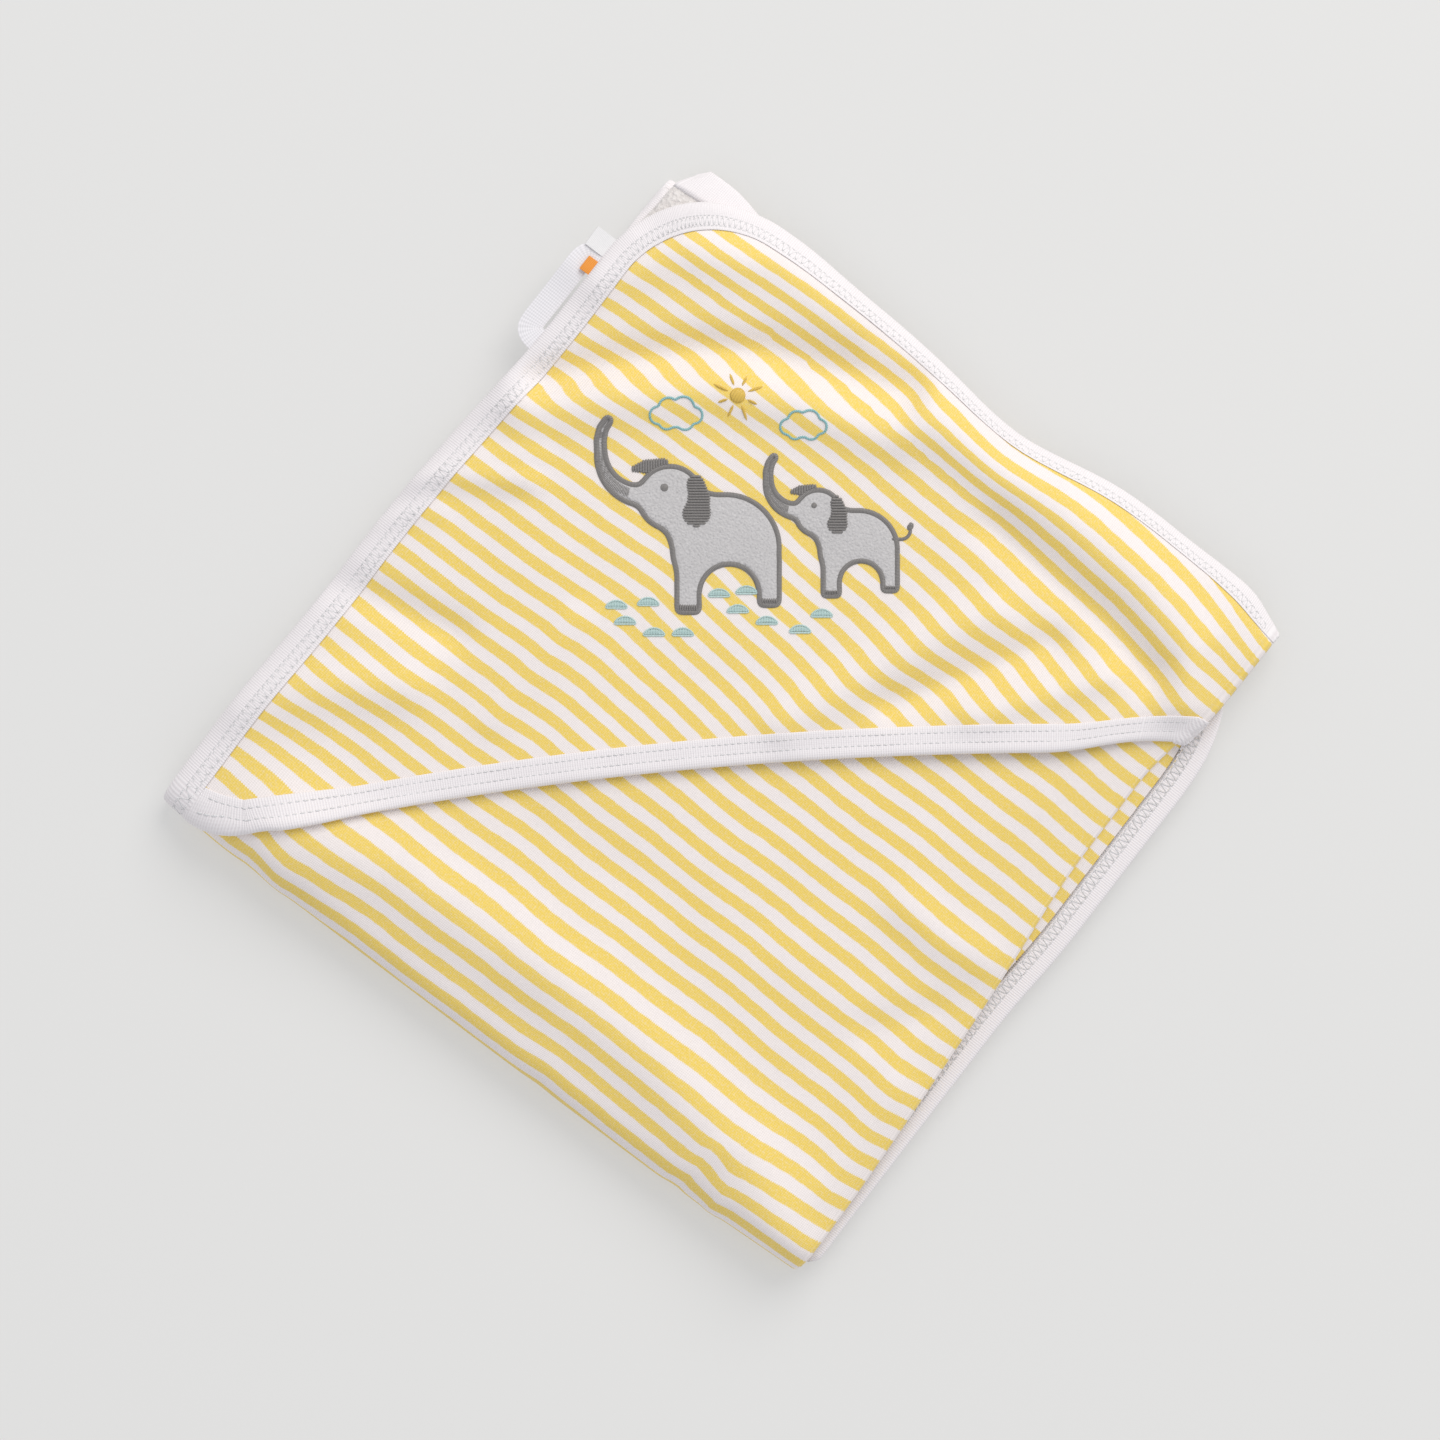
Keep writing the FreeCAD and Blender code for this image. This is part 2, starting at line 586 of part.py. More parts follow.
def cloud(name, across, up, width):
    """Outline of a cloud made of four puffs."""
    puffs = ((-0.3, 0.0, 0.20), (-0.08, 0.12, 0.22), (0.16, 0.10, 0.20), (0.32, -0.02, 0.16), (0.02, -0.08, 0.20))
    rims = []
    cores = []
    for index, (shift, lift, radius) in enumerate(puffs):
        centre = f"({across} + {width} * {shift})", f"({up} + {width} * {lift})"
        rims.append(picture_disc(f"{name}_rim{index}", *centre, f"({width} * {radius} + {THREAD})",
                                 THREAD_LOW, cell("satin_height")))
        cores.append(picture_disc(f"{name}_core{index}", *centre, f"({width} * {radius})",
                                  THREAD_LOW, cell("satin_height")))
    return cut(f"{name}_line", fuse(f"{name}_rims", rims), fuse(f"{name}_cores", cores))


clouds = [cloud("left_cloud", -21.5, 69.0, cell("cloud_width")),
          cloud("right_cloud", 22.5, 65.0, f"({cell('cloud_width')} * 0.88)")]
sub_part(fuse("cloud_lines", clouds, refine=False), "clouds")

# half-moon tufts of grass under the animals, flat side down
TUFTS = ((-42.0, 2.0, 3.6), (-31.0, 3.0, 3.6), (-39.0, -3.5, 3.6), (-29.0, -7.5, 3.6), (-19.0, -7.5, 3.6),
         (-6.5, 6.0, 3.8), (3.0, 7.0, 3.6), (0.0, 0.5, 3.6), (10.0, -3.5, 3.6), (29.0, -1.0, 3.8),
         (21.5, -6.5, 3.8))
tuft_parts = []
for across, up, radius in TUFTS:
    tuft_parts.append(picture_ring("tuft", across, up, "0", radius, 0, 180, THREAD_LOW, cell("satin_height")))
animals = fuse("both_animals", [large_outside, small_outside], refine=False)
sub_part(cut("tufts_beside_feet", fuse("tuft_group", tuft_parts, refine=False), animals), "ground_tufts")

# stabiliser behind the picture, let into the hood lining
backing = picture_bar("backing_sheet", f"(4 - {cell('backing_length')} / 2)", "-10",
                      cell("backing_length"), cell("backing_width"),
                      f"({HOOD_TOP_Z} - {JERSEY} - {cell('backing_thickness')})", cell("backing_thickness"))
sub_part(backing, "embroidery_backing")
sub_part(cut("hood_lining_relieved", hood_cloth["lining"], backing), "hood_lining")


# ---- loop, label and tab in the side seam ---------------------------------------

SEAM_X = f"({LEFT} - {cell('seam_clearance')})"
SEAM_Z = f"({TOP_PLY_Z} + {PLY})"
TAPE_LOW = f"({SEAM_Z} - {cell('tape_thickness')} / 2)"
LOOP_REACH = f"({cell('under_edge_reach')} - {cell('seam_clearance')})"
LOOP_RADIUS = f"(({cell('loop_span')}^2 / 4 + {LOOP_REACH}^2) / (2 * {LOOP_REACH}))"
loop_centre = (f"({SEAM_X} - {LOOP_REACH} + {LOOP_RADIUS})", cell("loop_centre_y"), TAPE_LOW)
loop_ring = part_ring("loop_ring", loop_centre, f"({LOOP_RADIUS} - {cell('loop_tape_width')})",
                      LOOP_RADIUS, cell("tape_thickness"))
loop_side = box("loop_side", (f"({SEAM_X} - {LOOP_REACH})", f"({cell('loop_centre_y')} - {cell('loop_span')})",
                              TAPE_LOW),
                (SEAM_X, f"({cell('loop_centre_y')} + {cell('loop_span')})",
                 f"({TAPE_LOW} + {cell('tape_thickness')})"))
sub_part(common("loop_outside", loop_ring, loop_side), "hanging_loop")


def folded_tape(label, centre_y, width, reach):
    """Fold a tape back on itself, both ends in the seam and the fold outwards."""
    wall = cell("satin_tape_thickness")
    bend = f"({wall} * 1.6)"
    y_low = f"({centre_y} - {width} / 2)"
    turn_x = f"({SEAM_X} - {reach} + {bend})"
    leaves = [
        box(f"{label}_upper", (turn_x, y_low, f"({SEAM_Z} + {bend} - {wall})"),
            (SEAM_X, f"({centre_y} + {width} / 2)", f"({SEAM_Z} + {bend})")),
        box(f"{label}_lower", (turn_x, y_low, f"({SEAM_Z} - {bend})"),
            (SEAM_X, f"({centre_y} + {width} / 2)", f"({SEAM_Z} - {bend} + {wall})")),
        part_ring(f"{label}_bend", (turn_x, y_low, SEAM_Z), f"({bend} - {wall})", bend, width,
                  ROUND_LEFT, 180.0),
    ]
    return sub_part(fuse(f"{label}_tape", leaves), label)


folded_tape("care_label", cell("label_centre_y"), cell("label_width"), cell("label_reach"))
folded_tape("brand_tab", cell("tab_centre_y"), cell("tab_width"), cell("tab_reach"))


# ---- check and write ---------------------------------------------------------------

doc.recompute()
for item in doc.Objects:
    if "Invalid" in item.State or "Error" in item.State:
        raise RuntimeError(f"{item.Label} failed: {item.State}")
for piece in SUBPARTS:
    if piece.Shape.isNull() or not piece.Shape.isValid():
        raise RuntimeError(f"{piece.Label} has no valid shape")

os.makedirs("parts", exist_ok=True)
for piece in SUBPARTS:
    piece.Shape.exportStep(os.path.join("parts", f"{piece.Label}.step"))
    size = piece.Shape.BoundBox
    print(f"{piece.Label:28s} {len(piece.Shape.Solids):2d} solids {piece.Shape.Volume:10.1f} mm3  "
          f"x {size.XMin:.1f}..{size.XMax:.1f}  y {size.YMin:.1f}..{size.YMax:.1f}  "
          f"z {size.ZMin:.2f}..{size.ZMax:.2f}")
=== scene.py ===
"""Hooded baby towel, folded into a flat packet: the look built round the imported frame.

Lengths in this file are millimetres until a mesh is made, and metres from then
on. The towel's two cloths are folded on paper first: every point of them has a
place across (s) and along (t) the sheet and a depth (n) below its striped face,
negative above it. FoldPlan turns these into the folded packet, and Settle lets
the packet slump, wrinkle and spread as cloth does. Every sewn-on piece goes
through the same two steps, so what touches before settling touches after it.
"""
import logging
import math
from dataclasses import dataclass
from enum import Enum
from typing import Callable, Optional, Sequence

import bmesh
import bpy
import numpy as np
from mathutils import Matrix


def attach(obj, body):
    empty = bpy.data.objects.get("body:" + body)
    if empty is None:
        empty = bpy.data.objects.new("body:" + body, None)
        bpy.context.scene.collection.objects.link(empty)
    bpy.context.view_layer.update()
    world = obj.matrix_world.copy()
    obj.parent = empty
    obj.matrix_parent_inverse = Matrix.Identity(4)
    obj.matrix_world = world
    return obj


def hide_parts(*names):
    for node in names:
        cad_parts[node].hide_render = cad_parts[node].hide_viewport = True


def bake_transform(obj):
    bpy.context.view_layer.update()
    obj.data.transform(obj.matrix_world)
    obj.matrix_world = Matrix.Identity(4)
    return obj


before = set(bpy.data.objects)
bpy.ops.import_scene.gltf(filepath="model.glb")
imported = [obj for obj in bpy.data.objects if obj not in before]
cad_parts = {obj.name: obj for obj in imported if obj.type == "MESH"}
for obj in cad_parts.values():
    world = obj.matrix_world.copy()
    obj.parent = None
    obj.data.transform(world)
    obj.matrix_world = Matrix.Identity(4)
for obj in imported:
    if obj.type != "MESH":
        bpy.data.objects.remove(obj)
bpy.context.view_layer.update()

log = logging.getLogger("towel")
Array = np.ndarray
MM = 0.001
# One stripe repeat is this long in weave places, and these many millimetres on each cloth.
STRIPE = 8.0
TOWEL_REPEAT = 8.42
HOOD_REPEAT = 8.15


# ---- small helpers -------------------------------------------------------------

def smooth(value: Array, low: float, high: float) -> Array:
    """Rise smoothly from 0 to 1.

    Args:
        value: What is measured.
        low: Where the rise starts.
        high: Where it ends.

    Returns:
        0 below low, 1 above high and a smooth step between.
    """
    q = np.clip((np.asarray(value, float) - low) / (high - low), 0.0, 1.0)
    return q * q * (3.0 - 2.0 * q)


def blend(first: Array, second: Array, share: Array) -> Array:
    """Mix two values.

    Args:
        first: Value at share 0.
        second: Value at share 1.
        share: How far towards the second.

    Returns:
        The mixed value.
    """
    return first + (second - first) * share


def along(value: Array, knots: Sequence[tuple]) -> Array:
    """Read a gentle curve given by a few knots.

    Args:
        value: Where to read it.
        knots: Pairs of place and height, in rising order.

    Returns:
        The curve's heights, averaged over a short run so that it has no corners.
    """
    places = [knot[0] for knot in knots]
    heights = [knot[1] for knot in knots]
    value = np.asarray(value, float)
    reach = (places[-1] - places[0]) / 24.0
    total = sum(np.interp(value + step * reach, places, heights) for step in (-1.0, -0.5, 0.0, 0.5, 1.0))
    return total / 5.0


def runs(*stretches: tuple) -> Array:
    """Divide consecutive stretches, each into its own number of cells.

    Args:
        stretches: Triples of start, end and number of cells.

    Returns:
        The places of all the cell borders, each once.
    """
    places: list = []
    for start, end, cells in stretches:
        places.extend(np.linspace(start, end, cells + 1)[:-1])
    places.append(stretches[-1][1])
    return np.array(places)


# ---- the folded sheet -----------------------------------------------------------

@dataclass(frozen=True)
class FoldPlan:
    """The towel's cloth folded in thirds across and twice along, before it settles."""

    left: float = -133.0
    right: float = 133.0
    front: float = -141.0
    back: float = 141.0
    ply: float = 2.0
    inset: float = 1.0
    reach: float = 9.0
    stack_gap: float = 0.4
    turn_inset: float = 2.0
    inner_length: float = 226.0
    binding: float = 10.0
    corner: float = 42.0

    @property
    def top(self) -> float:
        """Height of the upper stack's striped face."""
        return 9 * self.ply + self.stack_gap

    @property
    def fold_radius(self) -> float:
        """Outer radius of the long fold."""
        return self.top / 2

    @property
    def fold_y(self) -> float:
        """Where the long fold starts."""
        return self.front + self.fold_radius

    @property
    def turn_radius(self) -> float:
        """Outer radius of the short turn at the back."""
        return 3 * self.ply

    @property
    def turn_y(self) -> float:
        """Where the short turn starts."""
        return self.back - self.turn_inset - self.turn_radius

    @property
    def across(self) -> tuple:
        """Ends of the five stretches across: edge ply, right turn, middle ply, left turn, under ply."""
        bend = math.pi * self.ply / 2
        first = self.right - self.ply - self.left
        second = first + bend
        third = second + self.right - self.left - self.inset - 2 * self.ply
        fourth = third + bend
        last = fourth + self.right + self.reach - self.left - self.inset - self.ply
        return 0.0, first, second, third, fourth, last

    @property
    def length(self) -> tuple:
        """Ends of the five stretches along: upper, long fold, lower, short turn, inner."""
        first = self.back - self.fold_y
        second = first + math.pi * (self.fold_radius - 1.5 * self.ply)
        third = second + self.turn_y - self.fold_y
        fourth = third + math.pi * self.turn_radius / 2
        return 0.0, first, second, third, fourth, fourth + self.inner_length

    def edge_distance(self, s: Array, t: Array) -> Array:
        """Distance from the sheet's nearest edge before its corners are rounded."""
        return np.minimum(np.minimum(s, self.across[-1] - s), np.minimum(t, self.length[-1] - t))

    def round_corners(self, s: Array, t: Array) -> tuple:
        """Bring the sheet's square corners in to their radius.

        Args:
            s: Places across.
            t: Places along.

        Returns:
            The places with every corner rounded.
        """
        s, t = np.array(s, float), np.array(t, float)
        wide, long = self.across[-1], self.length[-1]
        radius = self.corner
        for from_s, sign_s in ((0.0, 1.0), (wide, -1.0)):
            for from_t, sign_t in ((0.0, 1.0), (long, -1.0)):
                over_s = radius - (s - from_s) * sign_s
                over_t = radius - (t - from_t) * sign_t
                inside = (over_s > 0) & (over_t > 0)
                span = np.hypot(over_s, over_t)
                share = np.where(inside, np.maximum(over_s, over_t) / np.where(span > 0, span, 1.0), 1.0)
                s = np.where(inside, from_s + sign_s * (radius - over_s * share), s)
                t = np.where(inside, from_t + sign_t * (radius - over_t * share), t)
        return s, t

    def place(self, s: Array, t: Array, n: Array) -> tuple:
        """Fold points of the sheet.

        Args:
            s: Places across the sheet.
            t: Places along the sheet.
            n: Depths below the striped face.

        Returns:
            x, y, z in the packet and the depth below the stack's top.
        """
        s, t, n = np.broadcast_arrays(np.asarray(s, float), np.asarray(t, float), np.asarray(n, float))
        c, e = self.across, self.length
        turned = smooth(t, e[1], e[2])
        x_edge = self.left + self.inset * turned
        x_right = self.right - self.ply - self.inset * turned
        x_left = self.left + self.inset + self.ply
        x_far = self.right + self.reach - (self.reach + self.inset) * turned
        right_turn = np.clip((s - c[1]) / (c[2] - c[1]), 0, 1) * math.pi
        left_turn = np.clip((s - c[3]) / (c[4] - c[3]), 0, 1) * math.pi
        zones = [s <= c[1], s <= c[2], s <= c[3], s <= c[4], s > c[4]]
        x = np.select(zones, [
            x_edge + s / c[1] * (x_right - x_edge),
            x_right + (self.ply - n) * np.sin(right_turn),
            x_right - (s - c[2]) / (c[3] - c[2]) * (x_right - x_left),
            x_left - n * np.sin(left_turn),
            x_left + (s - c[4]) / (c[5] - c[4]) * (x_far - x_left)])
        h = np.select(zones, [
            n, self.ply - (self.ply - n) * np.cos(right_turn), 2 * self.ply - n,
            2 * self.ply - n * np.cos(left_turn), 2 * self.ply + n])
        fold = np.clip((t - e[1]) / (e[2] - e[1]), 0, 1) * math.pi
        turn = np.clip((t - e[3]) / (e[4] - e[3]), 0, 1) * math.pi
        stages = [t <= e[1], t <= e[2], t <= e[3], t <= e[4], t > e[4]]
        y = np.select(stages, [
            self.back - t,
            self.fold_y - (self.fold_radius - h) * np.sin(fold),
            self.fold_y + (t - e[2]),
            self.turn_y + (self.turn_radius - h) * np.sin(turn),
            self.turn_y - (t - e[4])])
        z = np.select(stages, [
            self.top - h,
            self.fold_radius + (self.fold_radius - h) * np.cos(fold),
            h,
            self.turn_radius - (self.turn_radius - h) * np.cos(turn),
            2 * self.turn_radius - h])
        return x, y, z, h


@dataclass(frozen=True)
class Crease:
    """A soft ridge, or a valley where its height is negative, along a line on the packet."""

    path: tuple
    height: float
    spread: float

    def rise(self, x: Array, y: Array) -> Array:
        """Height that the crease adds at points of the packet.

        Args:
            x: Places across the packet.
            y: Places along it.

        Returns:
            The added heights.
        """
        nearest = np.full(np.shape(x), 1e9)
        for (x0, y0), (x1, y1) in zip(self.path, self.path[1:]):
            dx, dy = x1 - x0, y1 - y0
            share = np.clip(((x - x0) * dx + (y - y0) * dy) / (dx * dx + dy * dy), 0, 1)
            nearest = np.minimum(nearest, np.hypot(x - x0 - share * dx, y - y0 - share * dy))
        return self.height * np.exp(-(nearest / self.spread) ** 2)


@dataclass(frozen=True)
class Settle:
    """How the folded packet slumps at its edges, spreads and wrinkles."""

    plan: FoldPlan
    creases: tuple = (
        # rolled top edge and the hollow behind it
        Crease(((-10, 121), (30, 121), (80, 118), (112, 112), (124, 98)), 1.5, 9.0),
        Crease(((30, 106), (80, 104), (108, 98)), -0.8, 7.0),
        # long pull line from the hood corner, with its shoulder
        Crease(((-22, 122), (-50, 113), (-70, 106), (-88, 93), (-105, 74), (-122, 52)), -1.6, 7.0),
        Crease(((-15, 110), (-50, 97), (-75, 85), (-95, 66), (-120, 38)), 1.0, 9.0),
        Crease(((-128, 90), (-112, 116), (-84, 128), (-50, 129)), 1.0, 8.0),
        # small gathers down the left edge
        Crease(((-106, 21), (-120, 9), (-134, -5)), 0.9, 4.5),
        Crease(((-96, -37), (-132, -48)), -1.0, 7.0),
        Crease(((-98, -62), (-112, -76), (-130, -102)), 1.1, 9.0),
        # pulls beside the picture
        Crease(((48, 82), (33, 54), (14, 8)), 0.9, 8.0),
        Crease(((70, 86), (56, 62), (40, 36)), -0.9, 6.0),
        Crease(((92, 88), (78, 68), (64, 50)), 0.7, 6.0),
        Crease(((-66, -8), (-66, -52)), 0.5, 6.0),
        # the puffed long fold
        Crease(((-96, -124), (-60, -114), (0, -110), (50, -112), (95, -121), (126, -133)), 2.3, 15.0),
        Crease(((86, -17), (104, -18), (124, -15)), 1.0, 8.0),
        Crease(((104, -58), (118, -40)), -0.7, 7.0),
        Crease(((122, -70), (124, -110)), 0.9, 8.0),
        Crease(((60, -60), (90, -56)), 0.35, 12.0),
        Crease(((-30, -70), (20, -66)), -0.4, 12.0),
        # fine gathers at the bound left edge
        Crease(((-135, 26), (-118, 47), (-104, 64)), 0.45, 4.0),
        Crease(((-134, -3), (-121, 17), (-108, 30)), 0.45, 3.6),
        Crease(((-134, -24), (-121, -7)), 0.45, 3.6),
    )
    pinches: tuple = (
        Crease(((85, -122), (81, -143)), 1.5, 3.6),
        Crease(((94, -124), (97, -143)), -1.3, 3.4),
        Crease(((-104, -128), (-101, -146)), 1.2, 4.0),
        Crease(((-93, -130), (-90, -146)), -0.9, 4.0),
        Crease(((20, -132), (24, -146)), 0.7, 5.0),
    )
    swell: float = 3.5
    left_spread: tuple = ((-141, -9.5), (-100, -10), (-60, -8), (-20, -8), (20, -6), (60, -2),
                          (100, -1.5), (122, -2.5), (141, -1))
    right_spread: tuple = ((-141, 0.5), (-110, 0.5), (-70, -1.5), (-30, -4), (0, -6.5),
                           (25, -9), (80, -9), (92, -4.5), (141, -3))
    far_spread: tuple = ((-141, -5), (-20, -5), (0, -3), (85, -3), (98, -6), (112, -13), (141, -22))
    top_inner: tuple = ((-133, 2), (-100, 4), (-84, 6), (-61, 6), (-32, 5.5), (-3, 3), (11, 1), (28, 2),
                        (47, 6.4), (64, 8.3), (90, 7.8), (110, 7), (124, 5), (133, 2))
    top_outer: tuple = ((-133, 2), (-118, 2.5), (-101, 2.5), (-84, 4.5), (-61, 2.7), (-32, 1.7), (-3, -1.4),
                        (11, -4), (28, -2.4), (47, 2.4), (64, 4.3), (90, 3.6), (110, 4), (124, 3), (132, -1), (138, -7))
    front_spread: tuple = ((-133, -1.5), (-117, -4), (0, -3), (80, -2), (133, 1))

    def relief(self, x: Array, y: Array) -> Array:
        """Height of the creases on the top of the packet."""
        return self.swell * sum(crease.rise(x, y) for crease in self.creases)

    def press(self, x: Array, y: Array) -> Array:
        """Share of its height that the packet keeps, less towards its rim."""
        plan = self.plan
        back = np.clip((y - 112) / (plan.back - 112), 0, 1)
        left = np.clip((-111 - x) / (-111 - plan.left), 0, 1)
        right = np.clip((x - 112) / (plan.right - 112), 0, 1)
        seam = smooth(y, 30, 46) * (1 - smooth(y, 108, 120))
        return ((1 - 0.45 * back ** 2.5) * (1 - (0.34 - 0.22 * seam) * left ** 2.5)
                * (1 - 0.16 * right ** 2))

    def lift(self, x: Array, y: Array) -> Array:
        """How far the hood's free front edge stands off the towel."""
        amount = along(x, ((-133, 0), (-112, 0.2), (-60, 0.9), (0, 1.3), (60, 2.2), (104, 2.4), (124, 0.3),
                           (140, 0)))
        return amount * np.exp(-((y - opening(x)) * 0.75 / 24.0) ** 2)

    def apply(self, x: Array, y: Array, z: Array, under: Array, hood: Array, middle: Array) -> tuple:
        """Let folded points settle.

        Args:
            x: Places across the packet.
            y: Places along it.
            z: Heights.
            under: 1 on the under ply of a stack, else 0.
            hood: 1 on what lies on the striped face, else 0.
            middle: 1 on the plies beneath the edge ply, else 0.

        Returns:
            The settled x, y and z.
        """
        plan = self.plan
        height = np.clip(z / (plan.top + plan.ply), 0, 1.05)
        rise = self.relief(x, y) * height ** 1.5
        tuck = sum(crease.rise(x, y) for crease in self.pinches)
        rise = rise + 0.8 * tuck * height
        z_new = (z + rise + hood * self.lift(x, y)) * self.press(x, y)
        near_left = 1 - smooth(x, -132, -88)
        near_right = smooth(x, 90, 132)
        near_front = 1 - smooth(y, -141, -104)
        upper = smooth(z, 11.5, 12.6)
        front = 1 - smooth(y, -134, -118)
        loose = under * np.maximum(upper, front)
        right_move = blend(along(y, self.right_spread), along(y, self.far_spread), loose)
        x_new = x + along(y, self.left_spread) * near_left + right_move * near_right
        peek = middle * upper * smooth(y, 100, 125) * (1 - smooth(x, -130, -90))
        tip = middle * upper * (1 - smooth(x, -133, -123)) * smooth(y, 132, 141)
        x_new = x_new + 3.0 * peek + 3.5 * tip
        inner_move = along(x, self.top_inner) * smooth(y, 105, 131)
        share = np.clip((y - 131) / 10, 0, 1)
        corner_slack = 6.0 * (1 - smooth(x, -116, -84)) - 4.0 - 3.5 * (1 - smooth(x, -133, -125))
        outer_move = along(x, self.top_outer) + middle * corner_slack
        back_move = blend(inner_move, outer_move, share)
        lower_back = -4.0 * smooth(y, 110, 139)
        y_new = y + blend(lower_back, back_move, upper) + along(x, self.front_spread) * near_front
        y_new = y_new + tuck * height
        z_new = z_new - 2.2 * under * upper * smooth(x_new, 123.0, 131.0)
        return x_new, y_new, z_new


def opening(x: Array) -> Array:
    """Where the hood's front edge lies on the flat towel, for places across it."""
    x = np.clip(np.asarray(x, float), -133.0, 146.0)
    return -22.0 + 0.92 * x - 0.00096 * x ** 2 + 1.3e-6 * x ** 3


def opening_reach(x: Array) -> Array:
    """The same edge measured along the sheet, its tip shortened where it rounds the long fold."""
    y = opening(x)
    past = np.maximum(PLAN.fold_y - y, 0.0) / 1.9
    return PLAN.back - np.where(y < PLAN.fold_y, PLAN.fold_y - 9.0 * np.tanh(past / 9.0), y)


PLAN = FoldPlan()
SETTLE = Settle(PLAN)


def hooded(s: Array, t: Array) -> Array:
    """1 where the bound edge also holds the hood, 0 where it holds the towel alone."""
    return (1 - smooth(s, PLAN.across[1] + 1.5, PLAN.across[1] + 3.0)) * (1 - smooth(t, 276.0, 287.0))


def squeeze(s: Array, t: Array, n: Array) -> Array:
    """Press the cloths together where the binding grips them.

    Args:
        s: Places across the sheet.
        t: Places along it.
        n: Depths below the striped face.

    Returns:
        The depths inside the binding, unchanged elsewhere.
    """
    grip = 1 - smooth(PLAN.edge_distance(s, t), 8.5, 12.0)
    double = hooded(s, t)
    near = 0.47 * (1 - double)
    pressed = np.where(n >= 0, near + n / 2 * (1.53 - near), n * 0.76)
    return blend(n, pressed, grip)


def settle_sheet(s: Array, t: Array, n: Array) -> Array:
    """Fold and settle points of the sheet.

    Args:
        s: Places across the sheet.
        t: Places along it.
        n: Depths below the striped face.

    Returns:
        Points in metres, one row each on the last axis.
    """
    s, t, n = np.broadcast_arrays(np.asarray(s, float), np.asarray(t, float), np.asarray(n, float))
    s, t = PLAN.round_corners(s, t)
    x, y, z, _ = PLAN.place(s, t, n)
    c = PLAN.across
    under = (s > c[3]).astype(float)
    middle = (s > c[2] - 0.01).astype(float)
    upper_hood = ((n < -0.001) & (t < PLAN.length[2])).astype(float)
    x, y, z = SETTLE.apply(x, y, z, under, upper_hood, middle)
    return np.stack([x, y, z], axis=-1) * MM


def lay_on_hood(x: Array, y: Array, height: Array) -> Array:
    """Settle points that lie on the hood.

    Args:
        x: Places across the packet.
        y: Places along it.
        height: Heights above the hood's striped cloth.

    Returns:
        Points in metres.
    """
    return settle_sheet(np.asarray(x, float) - PLAN.left, PLAN.back - np.asarray(y, float),
                        -2.0 - np.asarray(height, float))


def face_length(s: Array, t: Array) -> Array:
    """Place along the towel's striped cloth, scaled so that each stripe repeat is STRIPE long."""
    e = PLAN.length
    x_flat, y_flat, z_flat, h = PLAN.place(s, t, 0.0)
    fold = np.clip((t - e[1]) / (e[2] - e[1]), 0, 1) * math.pi * (PLAN.fold_radius - h)
    turn = np.clip((t - e[3]) / (e[4] - e[3]), 0, 1) * math.pi * (PLAN.turn_radius - h)
    flat = np.minimum(t, e[1]) + np.clip(t - e[2], 0, e[3] - e[2]) + np.maximum(t - e[4], 0)
    extra = 9.0 * smooth(PLAN.back - t, 105, 131)
    wave = 0.45 * np.sin(s / 31.0) + 0.4 * np.sin(s / 15.0 + t / 45.0) + 0.25 * np.sin(s / 7.0 - t / 23.0)
    slip = 4.6 * smooth(s, PLAN.across[2] + 20, PLAN.across[3] - 20)
    drag = 0.35 * SETTLE.relief(x_flat, y_flat) * (z_flat > 12.0)
    y = PLAN.back - (flat + fold + turn) + extra + wave + slip + drag
    return (y + 59.7) / TOWEL_REPEAT * STRIPE


def hood_length(x: Array, y: Array) -> Array:
    """Place along the hood's striped cloth, scaled so that each stripe repeat is STRIPE long.

    The hood is cut separately, and its stripes bow and fan a little.

    Args:
        x: Places across the packet.
        y: Places along it.

    Returns:
        STRIPE times the number of repeats from the picture's level.
    """
    reach = np.maximum(x + 50.0, 0.0)
    back = np.maximum(-50.0 - x, 0.0)
    low = 18.0 - 0.105 * reach - 0.03 * back
    high = 112.0 - 0.00046 * reach ** 2 - 0.02 * back
    extra = 9.0 * smooth(y, 105, 131)
    middle = 12.0 * (y - low) / (high - low)
    above = 12.0 + (y + extra - high) / HOOD_REPEAT
    count = np.where(y < low, (y - low) / HOOD_REPEAT, np.where(y > high, above, middle))
    place = STRIPE * count + 0.35 * np.sin(x / 23.0 + y / 40.0) + 0.25 * np.sin(x / 8.0 - y / 19.0)
    return place + 0.35 * SETTLE.relief(x, y)


# ---- making meshes ----------------------------------------------------------------

